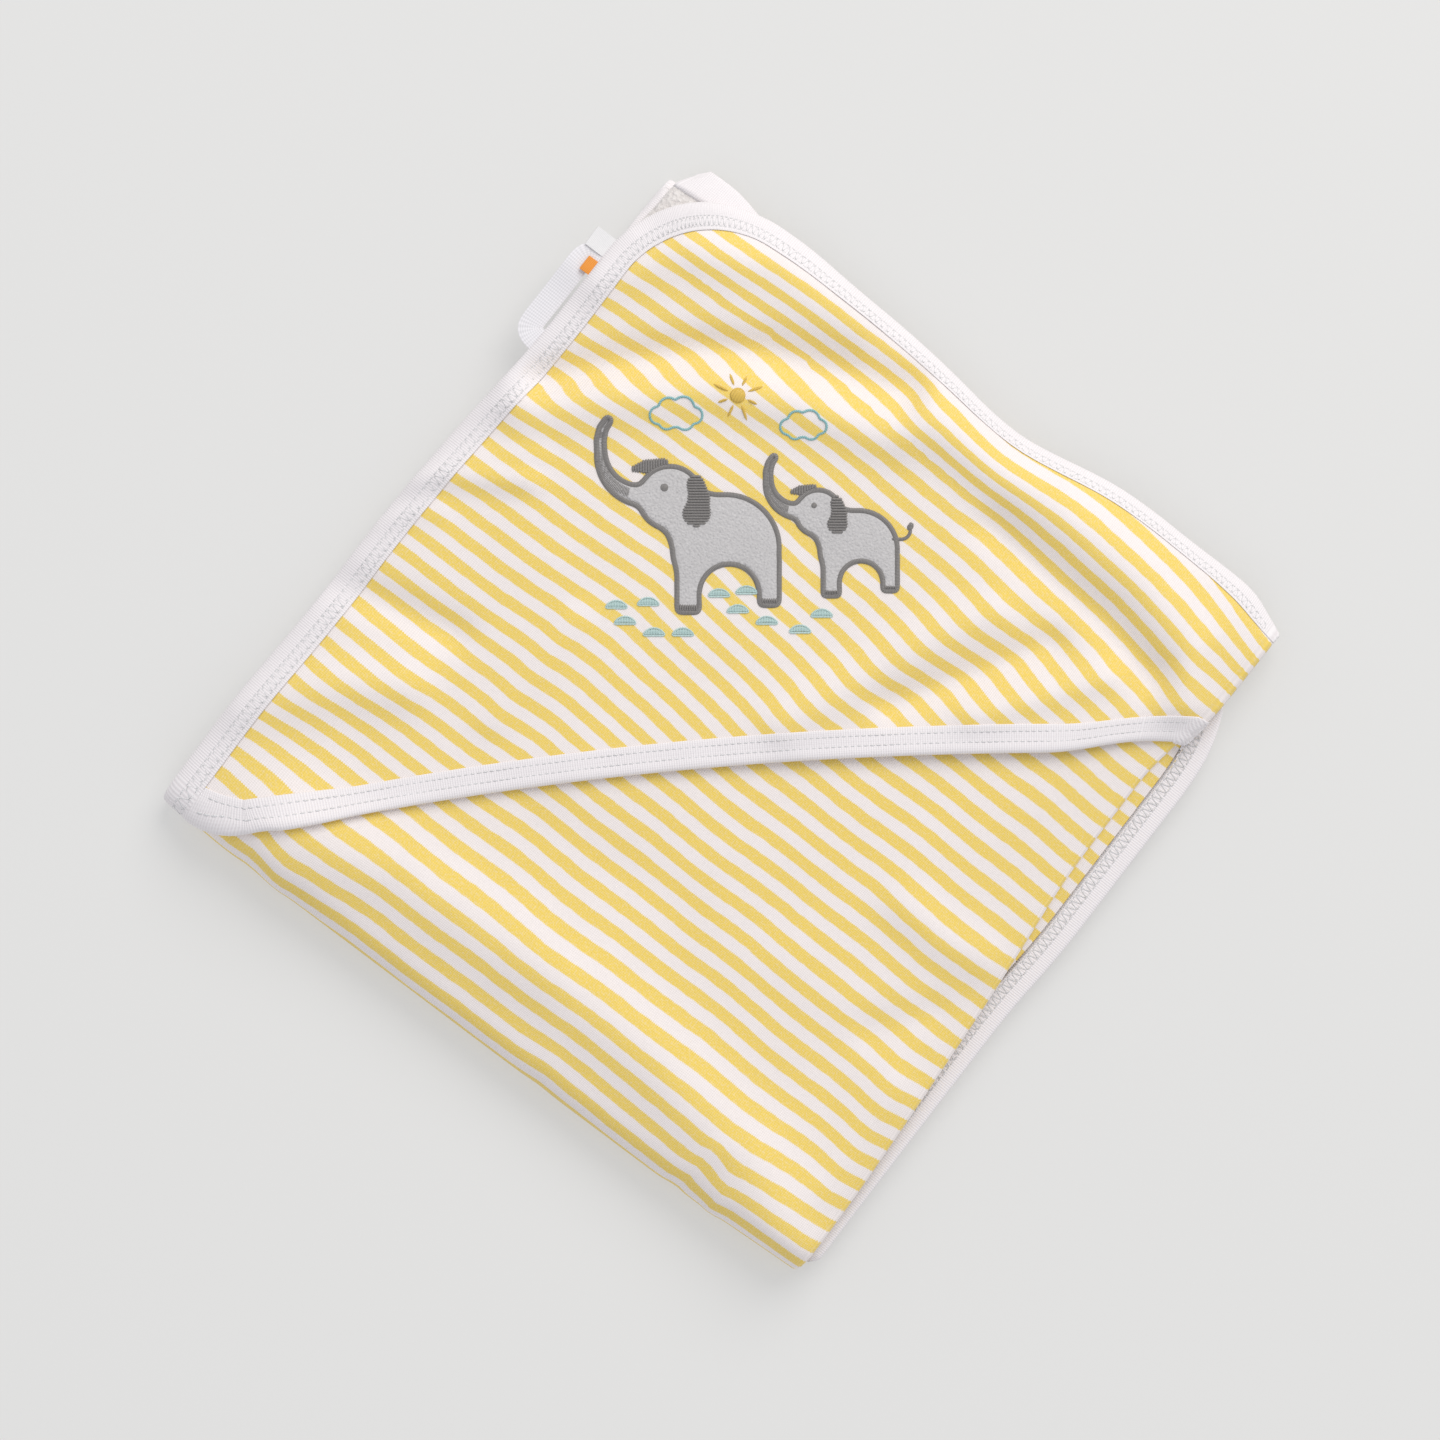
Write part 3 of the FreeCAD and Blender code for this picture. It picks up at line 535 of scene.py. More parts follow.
def make_mesh(name: str, points: Array, faces: Sequence, uv: Array, angle: float = 180.0) -> bpy.types.Object:
    """Make an object of points and faces.

    Args:
        name: Name of the piece.
        points: Rows of x, y, z in metres.
        faces: Lists of point numbers.
        uv: One pair per point, in metres along the cloth or thread.
        angle: Edges sharper than this many degrees stay sharp.

    Returns:
        The object, its faces outwards and shaded smooth.
    """
    mesh = bpy.data.meshes.new(name)
    mesh.from_pydata(points.reshape(-1, 3).tolist(), [], [tuple(int(i) for i in face) for face in faces])
    layer = mesh.uv_layers.new(name="weave")
    corners = np.empty(len(mesh.loops), dtype=np.int32)
    mesh.loops.foreach_get("vertex_index", corners)
    layer.data.foreach_set("uv", uv.reshape(-1, 2)[corners].astype(np.float32).ravel())
    shape = bmesh.new()
    shape.from_mesh(mesh)
    bmesh.ops.recalc_face_normals(shape, faces=shape.faces)
    shape.to_mesh(mesh)
    shape.free()
    mesh.update()
    piece = bpy.data.objects.new(name, mesh)
    bpy.context.scene.collection.objects.link(piece)
    bpy.ops.object.select_all(action="DESELECT")
    piece.select_set(True)
    bpy.context.view_layer.objects.active = piece
    if angle >= 180.0:
        bpy.ops.object.shade_smooth()
    else:
        bpy.ops.object.shade_smooth_by_angle(angle=math.radians(angle))
    piece.select_set(False)
    return piece


def grid_faces(rows: int, columns: int, start: int = 0, wrap_rows: bool = False,
               wrap_columns: bool = False) -> list:
    """Number the faces of a grid of points.

    Args:
        rows: Rows of points.
        columns: Columns of points.
        start: Number of the first point.
        wrap_rows: Join the last row to the first.
        wrap_columns: Join the last column to the first.

    Returns:
        Lists of four point numbers.
    """
    i, j = np.meshgrid(np.arange(rows if wrap_rows else rows - 1),
                       np.arange(columns if wrap_columns else columns - 1), indexing="ij")
    below, beside = (i + 1) % rows, (j + 1) % columns
    corners = [i * columns + j, below * columns + j, below * columns + beside, i * columns + beside]
    return (np.stack(corners, axis=-1).reshape(-1, 4) + start).tolist()


def closed_sheet(name: str, s: Array, t: Array, near: Array, far: Array, uv: Array) -> bpy.types.Object:
    """Make a thin closed sheet of cloth between two depths.

    Args:
        name: Name of the piece.
        s: Grid of places across the sheet.
        t: Grid of places along it.
        near: Depths of its upper face.
        far: Depths of its lower face.
        uv: Grid of weave places, in millimetres.

    Returns:
        The object.
    """
    rows, columns = s.shape
    top = settle_sheet(s, t, near)
    bottom = settle_sheet(s, t, far)
    count = rows * columns
    faces = grid_faces(rows, columns)
    faces += [face[::-1] for face in grid_faces(rows, columns, count)]
    index = np.arange(count).reshape(rows, columns)
    rim = np.concatenate([index[0, :-1], index[:-1, -1], index[-1, :0:-1], index[:0:-1, 0]])
    after = np.roll(rim, -1)
    faces += np.stack([rim, after, after + count, rim + count], axis=-1).tolist()
    points = np.concatenate([top.reshape(-1, 3), bottom.reshape(-1, 3)])
    pairs = np.concatenate([uv.reshape(-1, 2), uv.reshape(-1, 2)]) * MM
    piece = make_mesh(name, points, faces, pairs)
    bend_weights(piece)
    return piece


def bend_weights(piece: bpy.types.Object) -> None:
    """Bake a piece's placement into its mesh; no bending round the long fold is set up.

    Args:
        piece: The finished piece.
    """
    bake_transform(piece)


def tube_rings(path: Array, width: Array, height: Array, sides: int = 6) -> Array:
    """Wrap oval rings round a path that lies on a sheet.

    Args:
        path: Rows of s, t, n.
        width: Half width of each ring along the sheet.
        height: Half height of each ring away from it.
        sides: Points in each ring.

    Returns:
        Grid of s, t, n, one row of points per ring.
    """
    tangent = np.gradient(path[:, :2], axis=0)
    tangent /= np.maximum(np.linalg.norm(tangent, axis=1, keepdims=True), 1e-9)
    side = np.stack([-tangent[:, 1], tangent[:, 0]], axis=1)
    turn = np.arange(sides) / sides * 2 * math.pi
    reach = np.cos(turn)[None, :, None] * np.reshape(width, (-1, 1, 1))
    flat = path[:, None, :2] + side[:, None, :] * reach
    depth = path[:, None, 2] - np.sin(turn)[None, :] * np.reshape(height, (-1, 1))
    return np.concatenate([flat, depth[..., None]], axis=-1)


class Threads:
    """Many short tubes of thread gathered into one piece."""

    def __init__(self) -> None:
        """Start with no thread."""
        self.points: list = []
        self.faces: list = []
        self.uv: list = []
        self.t: list = []
        self.count = 0

    def add(self, path: Array, width: float, height: float, sides: int = 6, taper: float = 0.55) -> None:
        """Add one tube along a path on the sheet.

        Args:
            path: Rows of s, t, n.
            width: Half width along the sheet.
            height: Half height away from it.
            sides: Points round the tube.
            taper: Share of its size at both ends.
        """
        size = np.ones(len(path))
        size[0] = size[-1] = taper
        rings = tube_rings(path, width * size, height * size, sides)
        step = np.linalg.norm(np.diff(path, axis=0, prepend=path[:1]), axis=1).cumsum()
        around = np.arange(sides) / sides * 2 * math.pi * width
        pair = np.stack(np.broadcast_arrays(step[:, None], around[None]), axis=-1)
        self.faces += grid_faces(len(path), sides, self.count, wrap_columns=True)
        self.faces.append(list(range(self.count, self.count + sides)))
        last = self.count + (len(path) - 1) * sides
        self.faces.append(list(range(last, last + sides))[::-1])
        self.points.append(settle_sheet(rings[..., 0], rings[..., 1], rings[..., 2]).reshape(-1, 3))
        self.t.append(rings[..., 1].ravel())
        self.uv.append(pair.reshape(-1, 2) * MM)
        self.count += len(path) * sides

    def finish(self, name: str, bends: bool) -> bpy.types.Object:
        """Make the piece.

        Args:
            name: Name of the piece.
            bends: True where it crosses the long fold.

        Returns:
            The object.
        """
        piece = make_mesh(name, np.concatenate(self.points), self.faces, np.concatenate(self.uv))
        if bends:
            bend_weights(piece)
        return piece


# ---- finishes ----------------------------------------------------------------------

class Graph:
    """A short way of laying out a material's or a group's nodes."""

    def __init__(self, tree: bpy.types.NodeTree) -> None:
        """Work on a node tree."""
        self.tree = tree

    def node(self, kind: str, **settings: object) -> bpy.types.Node:
        """Add a node.

        Args:
            kind: Node type without its ShaderNode prefix.
            settings: Properties to set on it.

        Returns:
            The node.
        """
        made = self.tree.nodes.new(f"ShaderNode{kind}")
        for key, value in settings.items():
            setattr(made, key, value)
        return made

    def feed(self, socket: bpy.types.NodeSocket, value: object) -> None:
        """Link a socket to another, or set its value."""
        if isinstance(value, bpy.types.NodeSocket):
            self.tree.links.new(value, socket)
        else:
            socket.default_value = value

    def math(self, operation: str, *values: object, clamp: bool = False) -> bpy.types.NodeSocket:
        """Work out a number from up to three others."""
        made = self.node("Math", operation=operation, use_clamp=clamp)
        for socket, value in zip(made.inputs, values):
            self.feed(socket, value)
        return made.outputs[0]

    def tint(self, share: object, first: object, second: object, kind: str = "MIX") -> bpy.types.NodeSocket:
        """Mix two colours."""
        made = self.node("Mix", data_type="RGBA", blend_type=kind)
        for key, value in (("Factor", share), ("A", first), ("B", second)):
            sockets = [socket for socket in made.inputs if socket.name == key and socket.enabled]
            self.feed(sockets[0], value)
        return next(socket for socket in made.outputs if socket.enabled)

    def noise(self, place: bpy.types.NodeSocket, scale: float, detail: float = 2.0) -> bpy.types.NodeSocket:
        """Soft noise from 0 to 1 at a place."""
        made = self.node("TexNoise")
        self.feed(made.inputs["Vector"], place)
        self.feed(made.inputs["Scale"], scale)
        self.feed(made.inputs["Detail"], detail)
        return made.outputs["Fac"]

    def weave(self) -> tuple:
        """Read the piece's weave places.

        Returns:
            The whole vector, then its part across and its part along.
        """
        layer = self.node("UVMap", uv_map="weave")
        parts = self.node("SeparateXYZ")
        self.feed(parts.inputs[0], layer.outputs[0])
        return layer.outputs[0], parts.outputs[0], parts.outputs[1]

    def spot(self) -> bpy.types.NodeSocket:
        """Place on the object itself."""
        return self.node("TexCoord").outputs["Object"]

    def use(self, group: bpy.types.NodeTree, **values: object) -> bpy.types.NodeSocket:
        """Place a shared group.

        Args:
            group: The group.
            values: Its inputs by name.

        Returns:
            Its first output.
        """
        made = self.node("Group", node_tree=group)
        for key, value in values.items():
            self.feed(made.inputs[key], value)
        return made.outputs[0]


def new_group(name: str, inputs: Sequence[tuple], output: tuple) -> tuple:
    """Start a shared node group.

    Args:
        name: Name of the group.
        inputs: Pairs of name and socket kind.
        output: Name and kind of its output.

    Returns:
        The group, its graph, its inputs by name and its output socket.
    """
    tree = bpy.data.node_groups.new(name, "ShaderNodeTree")
    for label, kind in inputs:
        tree.interface.new_socket(label, in_out="INPUT", socket_type=f"NodeSocket{kind}")
    tree.interface.new_socket(output[0], in_out="OUTPUT", socket_type=f"NodeSocket{output[1]}")
    entry = tree.nodes.new("NodeGroupInput")
    leave = tree.nodes.new("NodeGroupOutput")
    given = {socket.name: socket for socket in entry.outputs if socket.name}
    return tree, Graph(tree), given, leave.inputs[0]


def rib_group() -> bpy.types.NodeTree:
    """Build the group that raises even ribs along one direction."""
    tree, graph, given, leave = new_group("even_ribs", (("Place", "Float"), ("Pitch", "Float")),
                                          ("Height", "Float"))
    phase = graph.math("MULTIPLY", graph.math("DIVIDE", given["Place"], given["Pitch"]), 2 * math.pi)
    graph.feed(leave, graph.math("MULTIPLY_ADD", graph.math("SINE", phase), 0.5, 0.5))
    return tree


def mottle_group() -> bpy.types.NodeTree:
    """Build the group that varies a colour a little, coarse and fine."""
    tree, graph, given, leave = new_group(
        "cloth_mottle", (("Colour", "Color"), ("Place", "Vector"), ("Amount", "Float")), ("Colour", "Color"))
    coarse = graph.noise(given["Place"], 45.0, 3.0)
    fine = graph.noise(given["Place"], 900.0, 2.0)
    both = graph.math("ADD", graph.math("MULTIPLY", coarse, 0.45), graph.math("MULTIPLY", fine, 0.55))
    swing = graph.math("MULTIPLY", graph.math("SUBTRACT", both, 0.5), given["Amount"])
    level = graph.math("ADD", swing, 1.0)
    made = graph.node("VectorMath", operation="SCALE")
    graph.feed(made.inputs[0], given["Colour"])
    graph.feed(made.inputs["Scale"], level)
    graph.feed(leave, made.outputs[0])
    return tree


def fuzz_group() -> bpy.types.NodeTree:
    """Build the group that gives the height of short loops or nap."""
    tree, graph, given, leave = new_group("pile_height", (("Place", "Vector"), ("Size", "Float")),
                                          ("Height", "Float"))
    cells = graph.node("TexVoronoi", feature="SMOOTH_F1")
    graph.feed(cells.inputs["Vector"], given["Place"])
    graph.feed(cells.inputs["Scale"], given["Size"])
    bumps = graph.math("SUBTRACT", 1.0, cells.outputs["Distance"])
    fine = graph.node("TexNoise")
    graph.feed(fine.inputs["Vector"], given["Place"])
    graph.feed(fine.inputs["Scale"], graph.math("MULTIPLY", given["Size"], 2.3))
    graph.feed(leave, graph.math("ADD", bumps, graph.math("MULTIPLY", fine.outputs["Fac"], 0.5)))
    return tree


class Shared:
    """The node groups that several finishes use."""

    ribs: bpy.types.NodeTree
    mottle: bpy.types.NodeTree
    fuzz: bpy.types.NodeTree

    @classmethod
    def build(cls) -> None:
        """Make the groups once."""
        cls.ribs = rib_group()
        cls.mottle = mottle_group()
        cls.fuzz = fuzz_group()


Colour = tuple


def shade(red: int, green: int, blue: int) -> Colour:
    """Turn a colour on the 0 to 255 scale into the renderer's own."""
    def one(value: int) -> float:
        """Turn one part."""
        share = value / 255.0
        return share / 12.92 if share <= 0.04045 else ((share + 0.055) / 1.055) ** 2.4
    return one(red), one(green), one(blue), 1.0


def dress(name: str, colour: Callable, height: Callable, depth: float, roughness: float, sheen: float = 0.0,
          strength: float = 0.6, coat: float = 0.0) -> bpy.types.Material:
    """Make a material from a colour and a relief.

    Args:
        name: Name of the finish.
        colour: Given the graph, returns the colour.
        height: Given the graph, returns the relief's height from 0 to 1.
        depth: Height of the relief in metres.
        roughness: Roughness of the surface.
        sheen: Weight of its soft sheen.
        strength: Strength of the relief.
        coat: Weight of a gloss over it.

    Returns:
        The material.
    """
    material = bpy.data.materials.new(name)
    material.use_nodes = True
    graph = Graph(material.node_tree)
    shader = material.node_tree.nodes["Principled BSDF"]
    graph.feed(shader.inputs["Base Color"], colour(graph))
    bump = graph.node("Bump")
    bump.inputs["Strength"].default_value = strength
    bump.inputs["Distance"].default_value = depth
    relief = height(graph)
    graph.feed(bump.inputs["Height"], relief)
    graph.feed(shader.inputs["Normal"], bump.outputs[0])
    graph.feed(shader.inputs["Roughness"], graph.math("MULTIPLY_ADD", relief, -0.08, roughness, clamp=True))
    shader.inputs["Sheen Weight"].default_value = sheen
    shader.inputs["Sheen Roughness"].default_value = 0.5
    shader.inputs["Coat Weight"].default_value = coat
    shader.inputs["Specular IOR Level"].default_value = 0.3
    return material


@dataclass(frozen=True)
class StripedJersey:
    """Fine knitted cotton in even stripes, its wales running along the towel."""

    yellow: Colour = shade(246, 214, 104)
    white: Colour = shade(247, 238, 234)
    stripe: float = 0.008
    wale: float = 0.00073

    def material(self) -> bpy.types.Material:
        """Make the finish."""
        def colour(graph: Graph) -> bpy.types.NodeSocket:
            """Stripes with slightly ragged borders and a speckle of loops."""
            place, across, length = graph.weave()
            wale = graph.use(Shared.ribs, Place=across, Pitch=self.wale)
            wander = graph.math("SUBTRACT", graph.noise(place, 160.0, 3.0), 0.5)
            drift = graph.math("MULTIPLY", wander, 0.0009)
            jag = graph.math("MULTIPLY_ADD", wale, 0.0003, drift)
            shifted = graph.math("ADD", length, jag)
            turn = graph.math("MULTIPLY", shifted, 2 * math.pi / self.stripe)
            bars = graph.math("MULTIPLY_ADD", graph.math("COSINE", turn), 4.5, 0.5, clamp=True)
            loops = graph.noise(place, 1500.0, 1.0)
            dye = graph.math("MULTIPLY_ADD", loops, 0.9, 0.5, clamp=True)
            base = graph.tint(graph.math("MULTIPLY", bars, dye), self.white, self.yellow)
            shadow = graph.math("MULTIPLY_ADD", wale, 0.08, 0.96)
            made = graph.node("VectorMath", operation="SCALE")
            graph.feed(made.inputs[0], base)
            graph.feed(made.inputs["Scale"], shadow)
            return graph.use(Shared.mottle, Colour=made.outputs[0], Place=graph.spot(), Amount=0.16)

        def height(graph: Graph) -> bpy.types.NodeSocket:
            """Wales with their rows of loops and a fine fuzz."""
            place, across, length = graph.weave()
            wale = graph.use(Shared.ribs, Place=across, Pitch=self.wale)
            course = graph.use(Shared.ribs, Place=length, Pitch=0.0006)
            fuzz = graph.noise(place, 2200.0, 2.0)
            knit = graph.math("MULTIPLY_ADD", course, 0.3, graph.math("MULTIPLY", wale, 0.6))
            return graph.math("ADD", knit, graph.math("MULTIPLY", fuzz, 0.4))
        return dress("striped_jersey_knit", colour, height, 0.00022, 0.86, sheen=0.25)


@dataclass(frozen=True)
class WhiteTerry:
    """Looped white pile."""

    white: Colour = shade(243, 238, 234)

    def material(self) -> bpy.types.Material:
        """Make the finish."""
        def height(graph: Graph) -> bpy.types.NodeSocket:
            """Round loops close together."""
            return graph.use(Shared.fuzz, Place=graph.spot(), Size=760.0)

        def colour(graph: Graph) -> bpy.types.NodeSocket:
            """White, with painted shade making it greyer between the loops."""
            raised = graph.math("SUBTRACT", height(graph), 0.25, clamp=True)
            # painted shade: a grey mixed in where the pile's relief is low, between the loops
            pile_with_painted_shade = graph.tint(raised, shade(214, 206, 202), self.white)
            return graph.use(Shared.mottle, Colour=pile_with_painted_shade, Place=graph.spot(), Amount=0.08)
        return dress("white_terry_pile", colour, height, 0.0009, 0.95, sheen=0.35, strength=0.9)


@dataclass(frozen=True)
class RibTape:
    """White rib knit tape, its ribs running across the edge it binds."""

    white: Colour = shade(246, 241, 241)
    pitch: float = 0.00085

    def material(self) -> bpy.types.Material:
        """Make the finish."""
        def height(graph: Graph) -> bpy.types.NodeSocket:
            """Ribs with small stitches in them."""
            place, length, across = graph.weave()
            rib = graph.use(Shared.ribs, Place=length, Pitch=self.pitch)
            loop = graph.use(Shared.ribs, Place=across, Pitch=0.0007)
            return graph.math("ADD", graph.math("MULTIPLY_ADD", loop, 0.2, graph.math("MULTIPLY", rib, 0.7)),
                              graph.math("MULTIPLY", graph.noise(place, 1400.0, 2.0), 0.35))

        def colour(graph: Graph) -> bpy.types.NodeSocket:
            """White, with painted shade making it darker between the ribs."""
            # painted shade: a greyer white mixed in where the ribs' relief is low
            between = graph.tint(graph.math("MULTIPLY_ADD", height(graph), 0.9, 0.25, clamp=True),
                                 shade(228, 219, 220), self.white)
            return graph.use(Shared.mottle, Colour=between, Place=graph.spot(), Amount=0.07)
        return dress("white_rib_tape", colour, height, 0.00022, 0.85, sheen=0.2, strength=0.6)


@dataclass(frozen=True)
class Fleece:
    """Short brushed nap in heather grey."""

    grey: Colour = shade(212, 209, 208)
    dark: Colour = shade(192, 189, 188)

    def material(self) -> bpy.types.Material:
        """Make the finish."""
        def colour(graph: Graph) -> bpy.types.NodeSocket:
            """Grey with darker fibres and lighter tips."""
            place = graph.spot()
            flecks = graph.math("MULTIPLY_ADD", graph.noise(place, 1300.0, 4.0), 2.2, -0.6, clamp=True)
            base = graph.tint(flecks, self.dark, self.grey)
            return graph.use(Shared.mottle, Colour=base, Place=place, Amount=0.25)

        def height(graph: Graph) -> bpy.types.NodeSocket:
            """Nap lying every way."""
            return graph.use(Shared.fuzz, Place=graph.spot(), Size=1300.0)
        return dress("brushed_grey_fleece", colour, height, 0.0004, 0.95, sheen=0.5, strength=0.8)


@dataclass(frozen=True)
class Yarn:
    """Sewing or embroidery thread laid side by side."""

    name: str
    tone: Colour
    pitch: float = 0.0005
    gloss: float = 0.45
    sheen: float = 0.1
    coat: float = 0.1

    def material(self) -> bpy.types.Material:
        """Make the finish."""
        def height(graph: Graph) -> bpy.types.NodeSocket:
            """Rounded threads with a light twist."""
            place, length, across = graph.weave()
            slant = graph.math("MULTIPLY_ADD", across, 0.25, length)
            strand = graph.use(Shared.ribs, Place=slant, Pitch=self.pitch)
            fibres = graph.noise(place, 2500.0, 1.0)
            return graph.math("MULTIPLY_ADD", fibres, 0.25, graph.math("MULTIPLY", strand, 0.8))

        def colour(graph: Graph) -> bpy.types.NodeSocket:
            """The thread's colour, with painted shade making it darker between strands."""
            # painted shade: the thread's colour darkened where the strands' relief is low
            low = tuple(part * 0.62 for part in self.tone[:3]) + (1.0,)
            raised = graph.math("MULTIPLY_ADD", height(graph), 1.1, 0.05, clamp=True)
            between = graph.tint(raised, low, self.tone)
            return graph.use(Shared.mottle, Colour=between, Place=graph.spot(), Amount=0.12)
        return dress(self.name, colour, height, 0.00018, self.gloss, sheen=self.sheen, strength=0.8,
                     coat=self.coat)


@dataclass(frozen=True)
class Ribbon:
    """Woven tape or satin ribbon."""

    name: str
    tone: Colour
    pitch: float = 0.0006
    gloss: float = 0.6

    def material(self) -> bpy.types.Material:
        """Make the finish."""
        def height(graph: Graph) -> bpy.types.NodeSocket:
            """Warp and weft crossing."""
            _, across, length = graph.weave()
            warp = graph.use(Shared.ribs, Place=across, Pitch=self.pitch)
            weft = graph.use(Shared.ribs, Place=length, Pitch=self.pitch * 1.3)
            return graph.math("MULTIPLY_ADD", weft, 0.5, graph.math("MULTIPLY", warp, 0.5))

        def colour(graph: Graph) -> bpy.types.NodeSocket:
            """The ribbon's colour, with painted shade making it darker in the crossings."""
            # painted shade: the ribbon's colour darkened where the weave's relief is low
            low = tuple(part * 0.8 for part in self.tone[:3]) + (1.0,)
            base = graph.tint(height(graph), low, self.tone)
            return graph.use(Shared.mottle, Colour=base, Place=graph.spot(), Amount=0.1)
        return dress(self.name, colour, height, 0.00015, self.gloss, sheen=0.1)


class Finish(Enum):
    """Every finish on the towel, with the record's slot it belongs to."""

    JERSEY = ("striped_jersey", StripedJersey())
    TERRY = ("white_terry", WhiteTerry())
    RIB = ("white_rib", RibTape())
    SEWING = ("white_thread", Yarn("white_sewing_thread", shade(254, 252, 252), 0.0004, 0.6, 0.1, 0.0))
    FLEECE = ("grey_fleece", Fleece())
    GREY = ("grey_thread", Yarn("grey_satin_thread", shade(148, 144, 141)))
    GOLD = ("gold_thread", Yarn("gold_satin_thread", shade(244, 204, 96)))
    BLUE = ("blue_thread", Yarn("blue_satin_thread", shade(212, 238, 234)))
    TEAL = ("teal_thread", Yarn("teal_satin_thread", shade(156, 206, 208), 0.0007))
    BACKING = ("backing_felt", Ribbon("pressed_backing_felt", shade(236, 234, 230), 0.0009, 0.95))
    LOOP = ("loop_tape", Ribbon("loop_herringbone_tape", shade(248, 245, 247), 0.0008, 0.8))
    LABEL = ("label_satin", Ribbon("care_label_satin", shade(250, 248, 247), 0.0004, 0.35))
    TAB = ("orange_tape", Ribbon("orange_tab_tape", shade(250, 160, 62), 0.0005, 0.5))

    def on(self, piece: bpy.types.Object) -> bpy.types.Object:
        """Dress a piece in this finish."""
        slot, recipe = self.value
        made = bpy.data.materials.get(MATERIAL_NAMES.get(self, ""))
        if made is None:
            made = recipe.material()
            MATERIAL_NAMES[self] = made.name
        piece.data.materials.clear()
        piece.data.materials.append(made)
        return piece


MATERIAL_NAMES: dict = {}


# ---- the towel's two cloths ---------------------------------------------------------

STACKS = ("upper", "fold", "lower", "turn", "inner")


@dataclass
class TowelCloths:
    """The striped face and the terry lining, each one folded sheet."""

    side: float = 0.8
    seam_allowance: float = 1.6
    face_depths: tuple = (0.03, 0.57)
    lining_depths: tuple = (0.63, 1.97)
    face: Optional[bpy.types.Object] = None
    lining: Optional[bpy.types.Object] = None

    def grid(self) -> tuple:
        """Lay out the sheet's points, closer where the packet shows them.

        Returns:
            Grids of places across and along.
        """
        c, e, trim = PLAN.across, PLAN.length, self.seam_allowance
        s = runs((trim, 14, 5), (14, c[1], 78), (c[1], c[2], 8), (c[2], c[3], 40), (c[3], c[4], 8),
                 (c[4], c[5] - 50, 30), (c[5] - 50, c[5] - trim, 17))
        t = runs((trim, 14, 5), (14, e[1], 82), (e[1], e[2], 16), (e[2], e[3], 44), (e[3], e[4], 10),
                 (e[4], e[5] - 12, 34), (e[5] - 12, e[5] - trim, 4))
        grid_t, grid_s = np.meshgrid(t, s, indexing="ij")
        return grid_s, grid_t

    def build(self) -> None:
        """Make both cloths."""
        s, t = self.grid()
        round_s, round_t = PLAN.round_corners(s, t)
        uv = np.stack([round_s, face_length(round_s, round_t)], axis=-1)
        near, far = (squeeze(s, t, np.full(s.shape, depth)) for depth in self.face_depths)
        self.face = Finish.JERSEY.on(closed_sheet("face_cloth", s, t, near, far, uv))
        near, far = (squeeze(s, t, np.full(s.shape, depth)) for depth in self.lining_depths)
        self.lining = Finish.TERRY.on(closed_sheet("lining_cloth", s, t, near, far, uv))
        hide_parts(*[f"{stack}_shell" for stack in STACKS])
        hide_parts(*[f"{stack}_lining" for stack in STACKS])
        log.info("towel cloths: %d and %d faces", len(self.face.data.polygons),
                 len(self.lining.data.polygons))


# ---- the hood -----------------------------------------------------------------------

